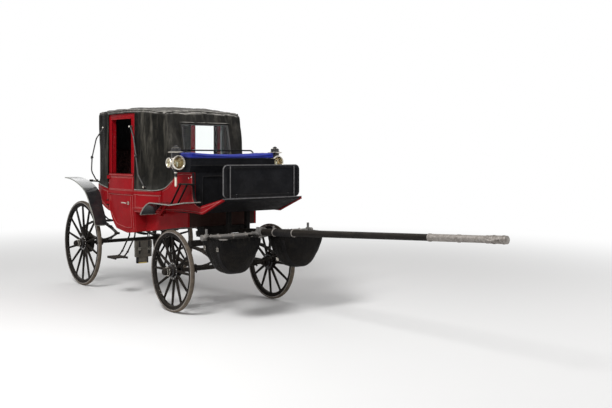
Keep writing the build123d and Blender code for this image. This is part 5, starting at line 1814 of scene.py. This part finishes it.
pouch = {
    "x": 1.372, "skin": 0.0250, "halfX": 0.0175, "bulge": 0.0055, "spread": 0.003, "wave": 0.0022,
    "y": 0.501, "halfY": 0.1005, "low": 0.484, "tall": 0.186,
    "flapY": (0.399, 0.603), "flapZ": (0.592, 0.6725), "flap": 0.005,
    "frontY": (0.403, 0.599), "frontZ": (0.490, 0.586), "frontOut": 0.0195, "welt": 0.003,
    "strapY": (0.440, 0.560), "strapHalf": 0.009, "strapZ": (0.520, 0.668), "strap": 0.003,
    "buckleZ": 0.580, "buckle": 0.012, "hangers": (0.424, 0.442), "hangerZ": (0.664, 0.785), "rod": 0.006,
    "rodY": (0.402, 0.600), "rodZ": 0.672,
}
underPouch = {
    "halfX": 0.012, "bulge": 0.004, "y": 0.513, "halfY": 0.060, "low": 0.414, "tall": 0.076,
    "strapX": (1.354, 1.390), "strapY": (0.450, 0.576), "strapHalf": 0.008, "strapZ": (0.412, 0.500),
    "bandX": (1.3565, 1.3875), "bandY": (0.458, 0.568), "bandZ": (0.410, 0.421),
}


def bulge(v, t):
    return (1 - (2 * v - 1) ** 4) * (1 - (2 * t - 1) ** 4)


def pouchUpper(u, v, t):
    # slack sides that bulge between the corners, more at the foot
    face, along, up = 2 * u - 1, 2 * v - 1, 2 * t - 1
    x = pouch["x"] + face * (pouch["halfX"] + pouch["bulge"] * bulge(v, t) + pouch["spread"] * (1 - t))
    y = pouch["y"] + along * (pouch["halfY"] + 0.003 * (1 - up**2))
    z = pouch["low"] + pouch["tall"] * t - 0.004 * (1 - along**2) * (1 - t)
    return x + face * pouch["wave"] * wander(x * 30, y * 22, z * 22), y, z


def pouchLower(u, v, t):
    lower = underPouch
    x = pouch["x"] + (2 * u - 1) * (lower["halfX"] + lower["bulge"] * bulge(v, t))
    return x, lower["y"] + (2 * v - 1) * lower["halfY"], lower["low"] + lower["tall"] * t


def slabInto(bm, xs, ys, zs, edge=0.002, segments=1):
    low, high = zip(*(sorted(ends) for ends in (xs, ys, zs)))
    blockInto(bm, low, high, edge, segments)


def softBlockInto(case, cuts, where):
    # a rounded block made by itself, so that its edges can be found, and then added to the case
    part = bmesh.new()
    padInto(part, cuts, where)
    bevelled(part, [e for e in part.edges if e.is_manifold and e.calc_face_angle() > 0.9], 0.004, 3)
    mesh = bpy.data.meshes.new("part")
    part.to_mesh(mesh)
    part.free()
    case.from_mesh(mesh)
    bpy.data.meshes.remove(mesh)


def pouchFace(case, black, steel, face):
    # flap over the top with a turned edge, and its two straps
    x = pouch["x"] + face * pouch["skin"]
    slabInto(case, (x, x - face * pouch["flap"]), pouch["flapY"], pouch["flapZ"], segments=2)
    for y in pouch["strapY"]:
        ys = (y - pouch["strapHalf"], y + pouch["strapHalf"])
        slabInto(black, (x, x + face * pouch["strap"]), ys, pouch["strapZ"], 0.001)
        buckleInto(steel, (x + face * 0.005, y, pouch["buckleZ"]), (0, 1, 0), pouch["buckle"])
    x = pouch["x"] + face * pouch["frontOut"]
    (y0, y1), (z0, z1) = pouch["frontY"], pouch["frontZ"]
    ring = [(x, y0, z0), (x, y1, z0), (x, y1, z1), (x, y0, z1)]
    wireInto(case, ring, pouch["welt"], closed=True, roundness=1)


def makePouches():
    case, black, yellow, steel = bmesh.new(), bmesh.new(), bmesh.new(), bmesh.new()
    softBlockInto(case, (4, 20, 20), pouchUpper)
    softBlockInto(case, (3, 14, 8), pouchLower)
    for face in (-1, 1):
        pouchFace(case, black, steel, face)
    for y in underPouch["strapY"]:
        ys = (y - underPouch["strapHalf"], y + underPouch["strapHalf"])
        slabInto(black, underPouch["strapX"], ys, underPouch["strapZ"])
    slabInto(yellow, underPouch["bandX"], underPouch["bandY"], underPouch["bandZ"])
    for y in pouch["hangers"]:
        wireInto(black, [(pouch["x"], y, z) for z in pouch["hangerZ"]], pouch["rod"])
    wireInto(black, [(pouch["x"], y, pouch["rodZ"]) for y in pouch["rodY"]], pouch["rod"])
    bothSides(case)
    makePiece("pouch_cases", case, "canvasGrey", "carriage_body", mend=False, stands="tool_pouches")
    makePairs(
        "carriage_body", ("pouch_straps", black, "boxLeather"), ("pouch_bands", yellow, "bandYellow"),
        ("pouch_buckles", steel, "nickel"),
    )


def makeBows():
    # bent ash bows under the hood's leather; those over a door opening have no uprights
    bm = bmesh.new()
    for x in hood["bows"][1:-1]:
        end, half, post = -1 if x < hood["splitX"] else 1, hoodHalf(x) - 0.001, []
        if not hood["openRearX"] - 0.02 < x < hood["openFrontX"] + 0.02:
            post = [hoodPoint(x, half, 1.35 + 0.09 * i, end, -0.038, loose=0) for i in range(9)]
        across = [half * (1 - i / 15) for i in range(31)]
        roof = [hoodPoint(x, y, hoodRoof(x, y), end, -0.030, loose=0) for y in across]
        wireInto(bm, post + roof + [Vector((p.x, -p.y, p.z)) for p in reversed(post)], 0.011)
    makePiece("hood_bows", bm, "floorWood", "carriage_body")


makeBags()
makePouches()
makeBows()
print("bags, pouches and bows made")


# Stage and light

stage = {
    "floor": (0.80, 0.795, 0.79), "size": 60, "world": 0.46, "key": 520, "fill": 80,
    "middleX": 1.3, "clearFrom": 3.0, "clearTo": 10.0,
}


def seenDirectly(tree):
    path = addNode(tree, "LightPath").outputs
    seen = calc(tree, "MAXIMUM", path["Is Camera Ray"], path["Is Transmission Ray"])
    return calc(tree, "MAXIMUM", seen, path["Is Glossy Ray"])


def makeFloorMaterial():
    # pale ground near the carriage, running out to the plain backdrop
    material, tree, shader = newMaterial("paleFloor")
    shader["Base Color"].default_value = (*stage["floor"], 1)
    shader["Roughness"].default_value = 0.9
    shader["Specular IOR Level"].default_value = 0.1
    away = addNode(
        tree, "MapRange", {"interpolation_type": "SMOOTHSTEP"},
        From_Min=stage["clearFrom"], From_Max=stage["clearTo"],
    )
    reach = vectorCalc(tree, "DISTANCE", objectPlace(tree), at(stage["middleX"], 0, 0), "Value")
    tree.links.new(reach, away.inputs["Value"])
    blend = addNode(tree, "MixShader")
    for socket, value in zip(blend.inputs, (
        product(tree, away.outputs[0], seenDirectly(tree)), tree.nodes["Principled BSDF"].outputs[0],
        addNode(tree, "Emission", Strength=1.0).outputs[0],
    )):
        tree.links.new(value, socket)
    tree.links.new(blend.outputs[0], tree.nodes["Material Output"].inputs["Surface"])
    return material


def makeStage():
    bm = bmesh.new()
    bmesh.ops.create_grid(bm, x_segments=2, y_segments=2, size=stage["size"])
    mesh = bpy.data.meshes.new("floor")
    bm.to_mesh(mesh)
    bm.free()
    mesh.materials.append(makeFloorMaterial())
    floor = link(bpy.data.objects.new("floor", mesh))

    world = bpy.data.worlds.new("sky")
    bpy.context.scene.world = world
    world.use_nodes = True
    tree = world.node_tree
    back = tree.nodes["Background"].inputs
    back["Color"].default_value = white
    strength = calc(tree, "MULTIPLY_ADD", seenDirectly(tree), 1 - stage["world"], stage["world"])
    tree.links.new(strength, back["Strength"])

    for name, spot, size, watts in (
        ("key", at(4.5, -5.0, 6.5), 2.4, stage["key"]), ("fill", at(7.5, 3.5, 4.0), 4.0, stage["fill"]),
        ("back", at(-4.5, 3.0, 5.0), 4.0, stage["fill"]),
    ):
        data = bpy.data.lights.new(name, "AREA")
        data.size, data.energy = size, watts
        lamp = link(bpy.data.objects.new(name, data))
        lamp.location = spot
        lamp.rotation_euler = (at(1.5, 0, 1.0) - spot).to_track_quat("-Z", "Y").to_euler()
    bpy.context.scene.view_settings.view_transform = "Standard"


makeStage()
